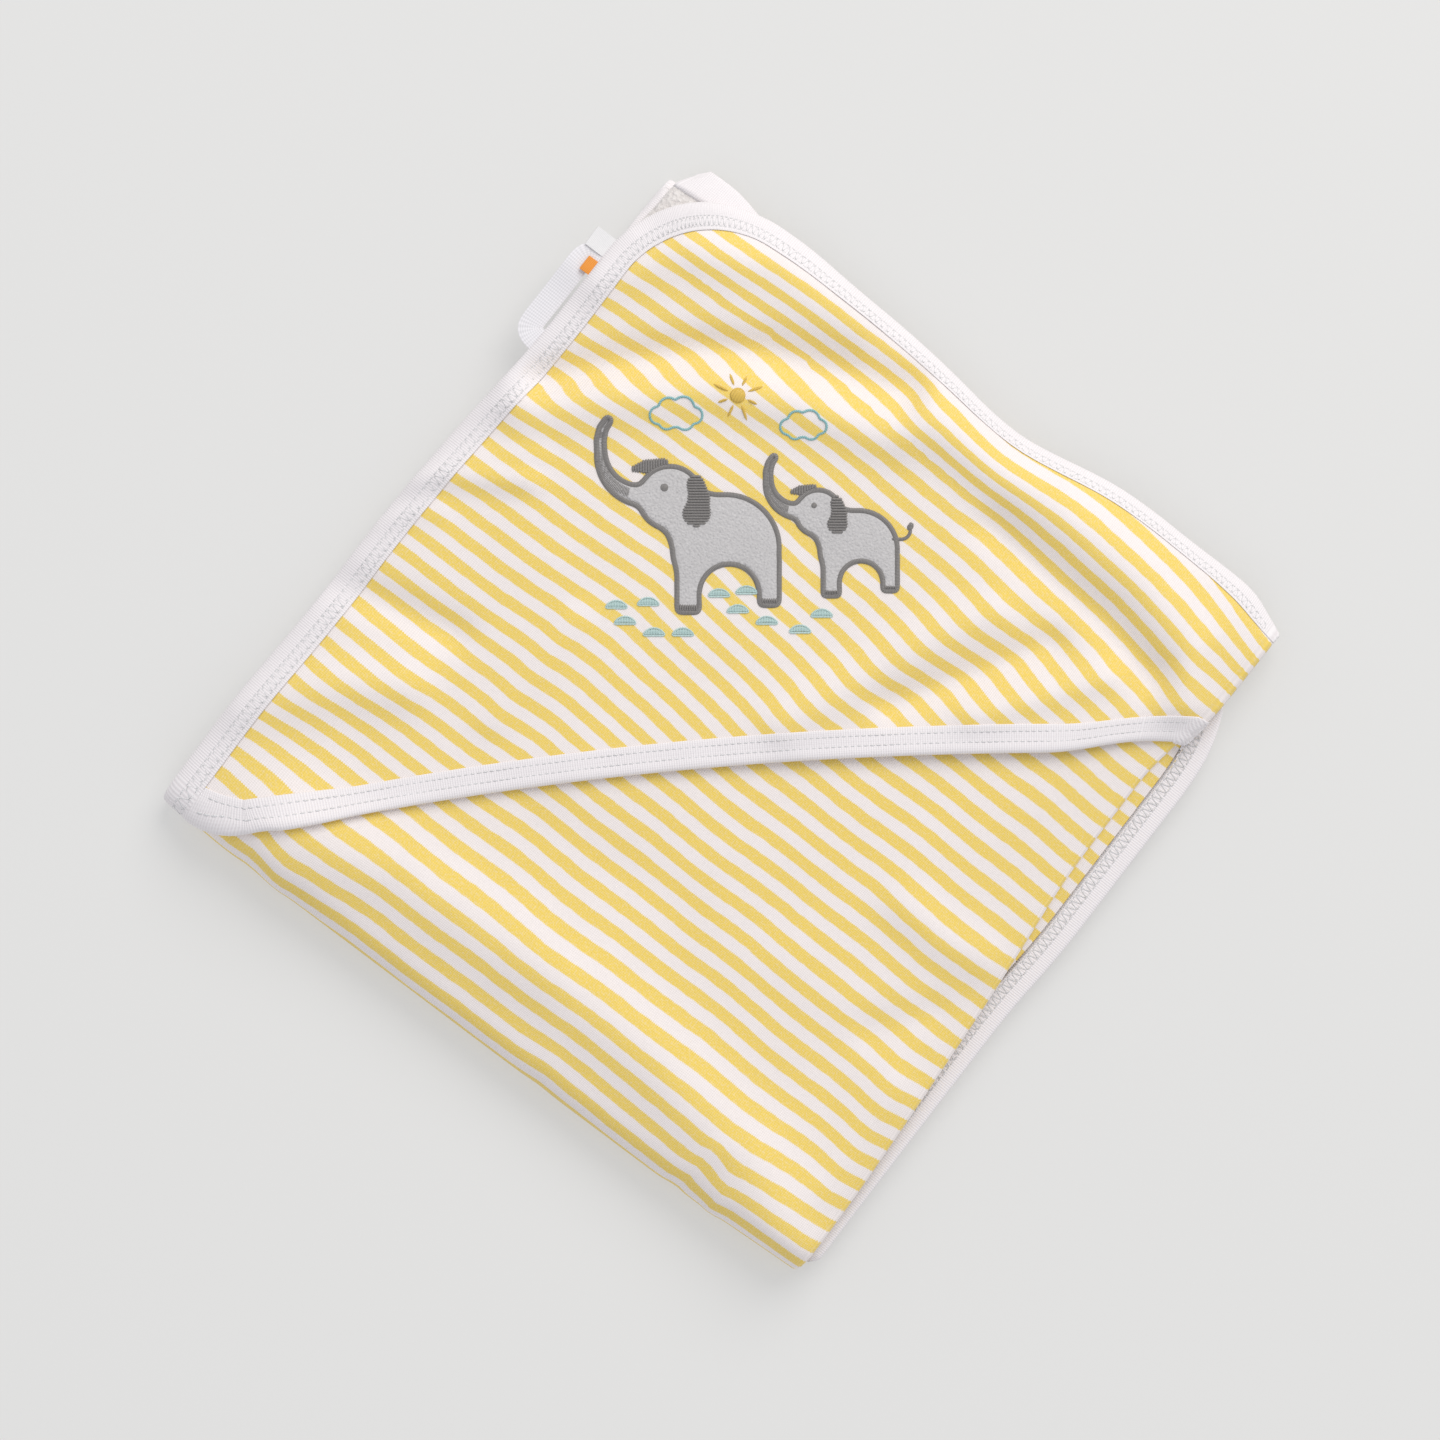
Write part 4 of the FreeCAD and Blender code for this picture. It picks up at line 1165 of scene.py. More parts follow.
@dataclass
class Hood:
    """The triangular hood of two cloths, with a rib band along its free edge."""

    seam_rows: tuple = (7.6, 4.1)
    stitch: float = 2.25
    turn_over: float = 1.5
    flat: tuple = (0.33, 0.31)
    flat_area: float = 0.045
    face_depths: tuple = (-1.98, -1.45)
    section: tuple = (
        (10.0, -2.02), (10.05, -2.25), (9.7, -2.42), (8.8, -2.52), (7.6, -2.46), (6.7, -2.54), (5.6, -2.56),
        (4.1, -2.48), (3.2, -2.66), (2.2, -2.74), (1.1, -2.6), (0.35, -2.2), (0.0, -1.4), (0.25, -0.55),
        (0.9, -0.14), (2.2, -0.04), (6.0, -0.04), (10.0, -0.06), (10.0, -0.40), (6.0, -0.42), (2.6, -0.44),
        (1.5, -0.7), (1.1, -1.3), (1.5, -1.85), (2.6, -2.02), (6.0, -2.02))

    def grid(self) -> tuple:
        """Lay out points from the back edge to the free edge.

        Returns:
            Grids of places across, places along and distance from the free edge.
        """
        c = PLAN.across
        s = runs((1.6, 14, 6), (14, c[1], 92), (c[1], c[1] + self.turn_over, 4))
        share = runs((0.0, 1.0, 108))
        end = opening_reach(s + PLAN.left) - 2.2
        t = 1.6 + share[:, None] * (end - 1.6)[None, :]
        s = np.broadcast_to(s, t.shape)
        return s, t, (end[None, :] + 2.2 - t) * 0.75

    def build(self) -> None:
        """Make the cloths, the band and its seams."""
        s, t, free = self.grid()
        round_s, round_t = PLAN.round_corners(s, t)
        x, y = round_s + PLAN.left, PLAN.back - round_t
        uv = np.stack([x, hood_length(x, y)], axis=-1)
        under_band = 1 - smooth(free, 8.0, 11.0)
        near, far = (squeeze(s, t, np.full(s.shape, depth)) for depth in self.face_depths)
        face = closed_sheet("hood_face", s, t, near, far, uv)
        lining = closed_sheet("hood_lining_cloth", s, t, squeeze(s, t, np.full(s.shape, -1.33)),
                              squeeze(s, t, -0.03 - 0.43 * under_band), uv)
        band = self.make_band()
        seams = self.make_seams()
        Finish.JERSEY.on(face)
        Finish.TERRY.on(lining)
        Finish.RIB.on(band)
        Finish.SEWING.on(seams)
        for piece, node in ((face, "hood_shell"), (lining, "hood_lining"), (band, "hood_binding"),
                            (seams, "hood_stitches")):
            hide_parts(node)
        log.info("hood: %d faces in its cloth, %d in its band", len(face.data.polygons),
                 len(band.data.polygons))

    def edge_line(self, step: float) -> tuple:
        """Follow the free edge from left to right.

        Args:
            step: Distance between points.

        Returns:
            Places across and along, and the direction towards the hood.
        """
        end = PLAN.across[1]
        fine = min(step * 0.72, 0.36)
        plain = np.arange(5.0, end - 9.0, step * 0.72)
        turned = np.arange(end - 9.0, end + self.turn_over + 9.0, fine)
        s = np.concatenate([plain, turned])
        t = opening_reach(s + PLAN.left)
        tangent = np.stack([np.gradient(s), np.gradient(t)], axis=-1)
        tangent /= np.linalg.norm(tangent, axis=1, keepdims=True)
        return s, t, np.stack([tangent[:, 1], -tangent[:, 0]], axis=-1)

    def make_band(self) -> bpy.types.Object:
        """Sweep the folded tape along the free edge."""
        s, t, inward = self.edge_line(2.2)
        inward = np.where(inward[:, 1:] > 0, -inward, inward)
        reach = np.array([point[0] for point in self.section])
        depth = np.array([point[1] for point in self.section])
        limit = PLAN.across[1] + self.turn_over
        ring_s = s[:, None] + inward[:, :1] * reach
        past = np.maximum(ring_s - limit, 0.0)
        ring_s = np.minimum(ring_s, limit)
        ring_t = t[:, None] + inward[:, 1:] * reach + 0.75 * past
        gather = 1.0 + 0.05 * np.sin(s / 3.1) * np.sin(s / 7.7)
        ring_n = depth[None, :] * gather[:, None]
        edge = PLAN.edge_distance(ring_s, np.minimum(ring_t, 400.0))
        ring_n = ring_n * blend(1.0, 0.58, 1 - smooth(edge, 8.0, 11.5))
        points = settle_sheet(ring_s, ring_t, ring_n)
        rows, columns = ring_s.shape
        length = np.hypot(np.gradient(s), np.gradient(t)).cumsum()
        across = np.abs(np.gradient(reach)).cumsum()
        uv = np.stack(np.broadcast_arrays(length[:, None], across[None, :]), axis=-1) * MM
        faces = grid_faces(rows, columns, wrap_columns=True)
        faces += [list(range(columns)), list(range((rows - 1) * columns, rows * columns))[::-1]]
        piece = make_mesh("hood_band", points, faces, uv)
        bend_weights(piece)
        return piece

    def make_seams(self) -> bpy.types.Object:
        """Sew two rows of stitches along the band."""
        threads = Threads()
        s, t, inward = self.edge_line(0.5)
        inward = np.where(inward[:, 1:] > 0, -inward, inward)
        length = np.hypot(np.gradient(s), np.gradient(t)).cumsum()
        for row, inset in enumerate(self.seam_rows):
            row_s = s + inward[:, 0] * inset
            row_t = t + inward[:, 1] * inset
            for start in np.arange(6.0 + 0.6 * row, length[-1] - 3.0, self.stitch):
                places = start + np.linspace(0, self.stitch * 0.78, 5)
                path_s = np.interp(places, length, row_s)
                path_t = np.interp(places, length, row_t)
                rise = np.array([0.0, 0.12, 0.17, 0.12, 0.0])
                if path_s[0] > 11.0 and path_s[-1] < PLAN.across[1] - 1.0:
                    threads.add(np.stack([path_s, path_t, -2.42 - rise], axis=-1), 0.22, 0.13)
        return threads.finish("hood_seam_stitches", bends=True)


# ---- bindings -------------------------------------------------------------------------

@dataclass
class EdgeBinding:
    """Rib tape folded over the towel's edge all the way round, and its seams."""

    wall: float = 0.36
    seam_rows: tuple = (5.0, 8.5)
    stitch: float = 2.25
    zigzag_inset: float = 6.75
    zigzag_half_pitch: float = 1.35
    thread_step: float = 0.45
    under_seam: tuple = (46.0, 268.0)
    crown_section: tuple = (
        (10.0, 0.0), (9.7, -0.12), (9.1, -0.16), (8.5, 0.02), (7.6, -0.14), (6.6, -0.18), (5.8, -0.14),
        (5.0, 0.02), (4.2, -0.16), (3.1, -0.26), (2.0, -0.22), (1.1, 0.02))
    rim_shares: tuple = (0.12, 0.32, 0.5, 0.68, 0.88, 0.97)
    tape: Optional[bpy.types.Object] = None
    seams: Optional[bpy.types.Object] = None

    @staticmethod
    def inset_along(place: Array, total: float, inset: Array) -> Array:
        """Shorten a place along an edge towards its rounded corners."""
        radius = PLAN.corner
        near = radius - (radius - place) * (radius - inset) / radius
        far = total - radius + (place - total + radius) * (radius - inset) / radius
        return np.where(place < radius, near, np.where(place > total - radius, far, place))

    def rim(self) -> tuple:
        """Walk round the sheet's edge.

        Returns:
            For each point, the number of its edge and the place along it.
        """
        c, e, r = PLAN.across, PLAN.length, PLAN.corner
        wide = runs((0, r, 18), (r, c[1], 76), (c[1], c[2], 8), (c[2], c[3], 56), (c[3], c[4], 8),
                    (c[4], c[5] - r, 56), (c[5] - r, c[5], 14))
        tall = runs((0, r, 18), (r, e[1], 80), (e[1], e[2], 16), (e[2], e[3], 60), (e[3], e[4], 10),
                    (e[4], e[5] - r, 46), (e[5] - r, e[5], 14))
        sides = [(0, wide[:-1]), (1, tall[:-1]), (2, wide[:0:-1]), (3, tall[:0:-1])]
        numbers = np.concatenate([np.full(len(places), number) for number, places in sides])
        hidden = len(wide) + len(tall) + len(wide) // 2
        return np.roll(numbers, -hidden), np.roll(np.concatenate([places for _, places in sides]), -hidden)

    def inset_points(self, number: Array, place: Array, inset: Array) -> tuple:
        """Find points a given distance in from the edge.

        Args:
            number: Number of the edge.
            place: Place along it.
            inset: Distance in from it.

        Returns:
            Places across and along the sheet.
        """
        wide, tall = PLAN.across[-1], PLAN.length[-1]
        on_s = self.inset_along(place, wide, inset)
        on_t = self.inset_along(place, tall, inset)
        s = np.select([number == 0, number == 1, number == 2], [on_s, wide - inset, on_s], inset + 0 * place)
        t = np.select([number == 0, number == 1, number == 2], [inset + 0 * place, on_t, tall - inset], on_t)
        return s, t

    def build(self) -> None:
        """Make the tape and its seams."""
        number, place = self.rim()
        inset = [point[0] for point in self.crown_section] + [0.4, 0.08, 0.0, 0.08, 0.4, 1.1, 2.0, 5.0, 8.0,
                                                              10.0, 10.0, 8.0, 5.0, 2.4, 1.3, 1.0, 1.3, 2.4,
                                                              5.0, 8.0]
        rows, columns = len(place), len(inset)
        inset_row = np.array(inset)[None, :]
        s, t = self.inset_points(number[:, None], place[:, None], inset_row)
        s, t = np.broadcast_arrays(s, t)
        edge_s, edge_t = self.inset_points(number, place, np.zeros(len(place)))
        double = hooded(edge_s, edge_t)[:, None]
        high = 0.05 - 2.01 * double
        low = np.full((rows, 1), 1.95)
        depth = low - high
        crown = double * np.array([point[1] for point in self.crown_section])[None, :] * 1.25
        parts = [high + crown] + [high + share * depth for share in self.rim_shares] + [low] * 4
        parts += [low - self.wall] * 4 + [low - 0.3 * depth, high + 0.5 * depth, high + 0.3 * depth]
        parts += [high + self.wall] * 3
        n = np.concatenate([np.broadcast_to(part, (rows, part.shape[1])) for part in parts], axis=1)
        points = settle_sheet(s, t, n)
        length = np.hypot(np.diff(edge_s, prepend=edge_s[:1]), np.diff(edge_t, prepend=edge_t[:1])).cumsum()
        across = np.hypot(np.diff(np.array(inset), prepend=inset[0]), 0.1).cumsum()
        uv = np.stack(np.broadcast_arrays(length[:, None], across[None, :]), axis=-1) * MM
        faces = grid_faces(rows, columns, wrap_rows=True, wrap_columns=True)
        self.tape = Finish.RIB.on(make_mesh("edge_binding_tape", points, faces, uv))
        bend_weights(self.tape)
        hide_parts("side_binding", "end_binding", "under_binding", "lower_binding",
                    "inner_binding")
        self.seams = Finish.SEWING.on(self.sew())
        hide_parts("edge_stitches")
        log.info("edge binding: %d faces, seams %d", len(self.tape.data.polygons),
                 len(self.seams.data.polygons))

    def sew(self) -> bpy.types.Object:
        """Sew two rows and the crossing thread between them where the edge shows."""
        threads = Threads()

        def point(walk: Array, inset: Array) -> tuple:
            """Place on the left and back edges, counted from their corner."""
            return self.inset_points(np.where(walk < 0, 3, 0), np.abs(walk), inset)

        def lay(walk: Array, inset: Array, rise: Array, width: float, height: float, sides: int) -> None:
            """Lay one thread on the bound edge."""
            s, t = point(walk, inset)
            s, t = np.broadcast_arrays(s, t)
            top = -1.96 * hooded(s, t) + 0.03
            threads.add(np.stack([s, t, top - rise], axis=-1), width, height, sides)

        first, last = -280.0, PLAN.across[1] + 0.5
        arch = np.array([0.0, 0.1, 0.14, 0.1, 0.0])
        for row in self.seam_rows:
            for start in np.arange(first, last - 3, self.stitch):
                lay(start + np.linspace(0, self.stitch * 0.8, 5), np.full(5, row), arch - 0.04, 0.22, 0.12, 6)
        walk = np.arange(first, last - 2, self.thread_step)
        swing = self.zigzag_inset + 1.45 * np.sin(walk * math.pi / self.zigzag_half_pitch)
        lay(walk, swing, np.full(len(walk), 0.16), 0.2, 0.11, 5)
        far = PLAN.across[-1]
        for row in self.seam_rows:
            for start in np.arange(*self.under_seam, self.stitch):
                places = start + np.linspace(0, self.stitch * 0.8, 5)
                threads.add(np.stack([np.full(5, far - row), places, 0.02 - arch], axis=-1), 0.22, 0.12)
        walk = np.arange(*self.under_seam, self.thread_step)
        swing = far - self.zigzag_inset + 1.6 * np.sin(walk * math.pi / self.zigzag_half_pitch)
        threads.add(np.stack([swing, walk, np.full(len(walk), 0.0)], axis=-1), 0.24, 0.1, 5)
        return threads.finish("edge_seam_stitches", bends=True)


# ---- the picture on the hood -------------------------------------------------------------

Outline = Callable[[Array, Array], Array]


def disc(across: float, up: float, radius: float) -> Outline:
    """Distance from a disc's rim, negative inside."""
    return lambda a, u: np.hypot(a - across, u - up) - radius


def bar(low: tuple, high: tuple, round_by: float = 0.0) -> Outline:
    """Distance from an upright bar's rim between two corners."""
    middle = ((low[0] + high[0]) / 2, (low[1] + high[1]) / 2)
    half = ((high[0] - low[0]) / 2 - round_by, (high[1] - low[1]) / 2 - round_by)

    def distance(a: Array, u: Array) -> Array:
        """Distance at a point."""
        x, y = np.abs(a - middle[0]) - half[0], np.abs(u - middle[1]) - half[1]
        return np.hypot(np.maximum(x, 0), np.maximum(y, 0)) + np.minimum(np.maximum(x, y), 0) - round_by
    return distance


def ribbon(path: Sequence[tuple], half: Sequence[float]) -> Outline:
    """Distance from the rim of a band with round ends along a path, its half width given at each point."""
    def distance(a: Array, u: Array) -> Array:
        """Distance at a point."""
        nearest = np.full(np.shape(a), 1e9)
        for (a0, u0), (a1, u1), half0, half1 in zip(path, path[1:], half, half[1:]):
            da, du = a1 - a0, u1 - u0
            share = np.clip(((a - a0) * da + (u - u0) * du) / (da * da + du * du), 0, 1)
            gap = np.hypot(a - a0 - share * da, u - u0 - share * du)
            nearest = np.minimum(nearest, gap - blend(half0, half1, share))
        return nearest
    return distance


def join(*shapes: Outline, soft: float = 0.01) -> Outline:
    """Join shapes, easing the inside corners between them."""
    def distance(a: Array, u: Array) -> Array:
        """Distance at a point."""
        total = shapes[0](a, u)
        for shape in shapes[1:]:
            other = shape(a, u)
            share = np.clip(0.5 + 0.5 * (other - total) / soft, 0, 1)
            total = other + (total - other) * share - soft * share * (1 - share)
        return total
    return distance


def without(shape: Outline, hole: Outline) -> Outline:
    """Take one shape out of another."""
    return lambda a, u: np.maximum(shape(a, u), -hole(a, u))


def grown(shape: Outline, by: float) -> Outline:
    """Grow a shape all round."""
    return lambda a, u: shape(a, u) - by


@dataclass
class Patch:
    """A flat shape cut into small quads, its rim following the outline."""

    points: Array
    faces: Array
    rims: list

    @classmethod
    def cut(cls, shape: Outline, low: tuple, high: tuple, pitch: float) -> "Patch":
        """Cut a shape.

        Args:
            shape: Its outline.
            low: Lowest corner of the area it lies in.
            high: Highest corner.
            pitch: Size of the quads.

        Returns:
            The patch.
        """
        a = np.arange(low[0], high[0], pitch)
        u = np.arange(low[1], high[1], pitch)
        grid_a, grid_u = np.meshgrid(a, u, indexing="ij")
        inside = shape(grid_a[:-1, :-1] + pitch / 2, grid_u[:-1, :-1] + pitch / 2) < 0
        index = np.arange(grid_a.size).reshape(grid_a.shape)
        quads = np.stack([index[:-1, :-1], index[1:, :-1], index[1:, 1:], index[:-1, 1:]], axis=-1)[inside]
        after: dict = {}
        shared = {tuple(edge) for quad in quads.tolist() for edge in zip(quad, quad[1:] + quad[:1])}
        for start, end in sorted(shared):
            if (end, start) not in shared:
                after.setdefault(start, []).append(end)
        loops = []
        while after:
            start = next(iter(after))
            loop = [start]
            while True:
                ends = after[loop[-1]]
                step = ends.pop()
                if not ends:
                    del after[loop[-1]]
                if step == start:
                    break
                loop.append(step)
            loops.append(loop)
        used = np.unique(quads)
        renumber = np.zeros(grid_a.size, dtype=int)
        renumber[used] = np.arange(len(used))
        points = np.stack([grid_a.ravel()[used], grid_u.ravel()[used]], axis=-1)
        rims = [renumber[np.array(loop)] for loop in loops]
        rim = np.concatenate(rims)
        for _ in range(4):
            spot = points[rim]
            here = shape(spot[:, 0], spot[:, 1])
            slope_a = (shape(spot[:, 0] + 0.05, spot[:, 1]) - shape(spot[:, 0] - 0.05, spot[:, 1])) / 0.1
            slope_u = (shape(spot[:, 0], spot[:, 1] + 0.05) - shape(spot[:, 0], spot[:, 1] - 0.05)) / 0.1
            size = np.maximum(slope_a ** 2 + slope_u ** 2, 0.3)
            points[rim] = spot - np.stack([here * slope_a / size, here * slope_u / size], axis=-1) * 0.9
        return cls(points, renumber[quads], rims)

    def rim_line(self, number: int, step: float) -> Array:
        """Walk one rim in even steps.

        Args:
            number: Which rim.
            step: Distance between points.

        Returns:
            Rows of across and up, without the first point repeated.
        """
        line = self.points[self.rims[number]]
        for _ in range(5):
            line = (np.roll(line, 1, axis=0) + 2 * line + np.roll(line, -1, axis=0)) / 4
        ring = np.concatenate([line, line[:1]])
        length = np.concatenate([[0], np.linalg.norm(np.diff(ring, axis=0), axis=1).cumsum()])
        count = max(int(length[-1] / step) // 2 * 2, 8)
        places = np.linspace(0, length[-1], count, endpoint=False)
        return np.stack([np.interp(places, length, ring[:, axis]) for axis in (0, 1)], axis=-1)


class Stitchery:
    """Shapes in the picture's own frame, gathered and laid on the hood as one piece."""

    def __init__(self, plan: "PicturePlan", origin: tuple = (0.0, 0.0), scale: float = 1.0) -> None:
        """Start with nothing, at an origin and scale in the picture."""
        self.plan = plan
        self.origin = origin
        self.scale = scale
        self.points: list = []
        self.faces: list = []
        self.uv: list = []
        self.count = 0

    def extend(self, flat: Array, height: Array, faces: list, uv: Array) -> None:
        """Add points, given flat and with heights, and their faces."""
        self.points.append(np.column_stack([flat * self.scale + np.array(self.origin), height]))
        self.uv.append(uv * self.scale)
        self.faces += [[int(i) + self.count for i in face] for face in faces]
        self.count += len(flat)

    def fill(self, patch: Patch, low: float, high: float, crown: float, soft: float, shape: Outline) -> None:
        """Add a filled patch whose top rises from its rim.

        Args:
            patch: The patch.
            low: Height of its underside.
            high: Height of its top at the rim.
            crown: Extra height in the middle.
            soft: Distance over which it rises.
            shape: Its outline.
        """
        inner = -np.minimum(shape(patch.points[:, 0], patch.points[:, 1]), 0)
        top = high + crown * (1 - np.exp(-inner / soft))
        count = len(patch.points)
        self.extend(patch.points, top, patch.faces.tolist(), patch.points)
        self.extend(patch.points, np.full(count, low), patch.faces[:, ::-1].tolist(), patch.points)
        walls = []
        for rim in patch.rims:
            after = np.roll(rim, -1)
            walls += np.stack([rim, rim + count, after + count, after], axis=-1).tolist()
        self.faces += [[int(i) + self.count - 2 * count for i in wall] for wall in walls]

    def hatch(self, shape: Outline, low: tuple, high: tuple, pitch: float, height: float,
              upright: bool = False) -> None:
        """Fill a shape with rows of thread lying side by side.

        Args:
            shape: Its outline.
            low: Lowest corner of the area it lies in.
            high: Highest corner.
            pitch: Distance between rows.
            height: Height of each row's crown.
            upright: True where the rows run upwards.
        """
        step_axis, run_axis = (0, 1) if upright else (1, 0)
        first, last = low[step_axis], high[step_axis]
        start, end = low[run_axis], high[run_axis]
        fine = np.arange(start, end, 0.1)
        for row in np.arange(first + pitch / 2, last, pitch):
            fixed = np.full(len(fine), row)
            inside = shape(fixed, fine) < 0 if upright else shape(fine, fixed) < 0
            if inside.sum() < 6:
                continue
            ends = fine[inside][[0, -1]]
            count = max(int((ends[1] - ends[0]) / 0.5), 4)
            run = np.linspace(ends[0], ends[1], count)
            flat = np.full(count, row)
            line = np.stack([flat, run] if upright else [run, flat], axis=-1)
            self.satin(line, pitch * 0.56, height, closed=False, slant=0.0, taper=1, smooth_rows=True)

    def satin(self, line: Array, half: float, height: float, closed: bool = True, slant: float = 0.35,
              taper: int = 0, widths: Optional[Array] = None, smooth_rows: bool = False) -> None:
        """Add a row of satin stitches along a line.

        Args:
            line: Rows of across and up, half a stitch apart.
            half: Half the row's width.
            height: Height of its crown.
            closed: True for a loop.
            slant: How far each stitch leans along the line.
            taper: Number of points over which open ends narrow.
            widths: Share of the width at each point.
            smooth_rows: True where the thread runs along the line.
        """
        if closed:
            tangent = np.roll(line, -1, axis=0) - np.roll(line, 1, axis=0)
        else:
            tangent = np.gradient(line, axis=0)
        tangent = tangent / np.maximum(np.linalg.norm(tangent, axis=1, keepdims=True), 1e-9)
        side = np.stack([tangent[:, 1], -tangent[:, 0]], axis=-1)
        width = np.full(len(line), half)
        if taper:
            ends = np.minimum(np.arange(len(line)), np.arange(len(line))[::-1])
            width = half * (0.25 + 0.75 * smooth(ends, -0.5, taper))
        if widths is not None:
            width = width * widths
        raised = 1.0 - (0.0 if smooth_rows else 0.24) * (np.arange(len(line)) % 2)
        across = np.array([-1.0, -0.97, -0.72, -0.36, 0.0, 0.36, 0.72, 0.97, 1.0])
        crown = np.array([-0.25, 0.34, 0.72, 0.94, 1.0, 0.94, 0.72, 0.34, -0.25])
        flat = (line[:, None, :] + side[:, None, :] * (across[None, :, None] * width[:, None, None])
                + tangent[:, None, :] * (across[None, :, None] * slant * width[:, None, None]))
        tall = crown[None, :] * raised[:, None] * height * (width / half)[:, None]
        tall = np.where(crown[None, :] < 0, -0.12, tall)
        rows, columns = tall.shape
        length = np.linalg.norm(np.diff(line, axis=0, prepend=line[:1]), axis=1).cumsum()
        uv = np.stack(np.broadcast_arrays(length[:, None], across[None, :] * half), axis=-1)
        faces = grid_faces(rows, columns, wrap_rows=closed, wrap_columns=True)
        if not closed:
            faces += [list(range(columns)), list(range((rows - 1) * columns, rows * columns))[::-1]]
        self.extend(flat.reshape(-1, 2), tall.ravel(), faces, uv.reshape(-1, 2))

    def finish(self, name: str, finish: Finish, *nodes: str) -> bpy.types.Object:
        """Lay everything on the hood as one piece.

        Args:
            name: Name of the piece.
            finish: Its finish.
            nodes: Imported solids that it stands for.

        Returns:
            The object.
        """
        points = np.concatenate(self.points)
        x, y = self.plan.on_packet(points[:, 0], points[:, 1])
        piece = make_mesh(name, lay_on_hood(x, y, points[:, 2]), self.faces, np.concatenate(self.uv) * MM)
        finish.on(piece)
        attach(piece, "top_half")
        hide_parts(*nodes)
        return piece


@dataclass
class PicturePlan:
    """Where the picture lies on the hood."""

    x: float = -22.0
    y: float = 28.5
    angle: float = 37.5

    def on_packet(self, a: Array, u: Array) -> tuple:
        """Turn places in the picture into places on the packet."""
        turn = math.radians(self.angle)
        return (self.x + a * math.cos(turn) - u * math.sin(turn),
                self.y + a * math.sin(turn) + u * math.cos(turn))


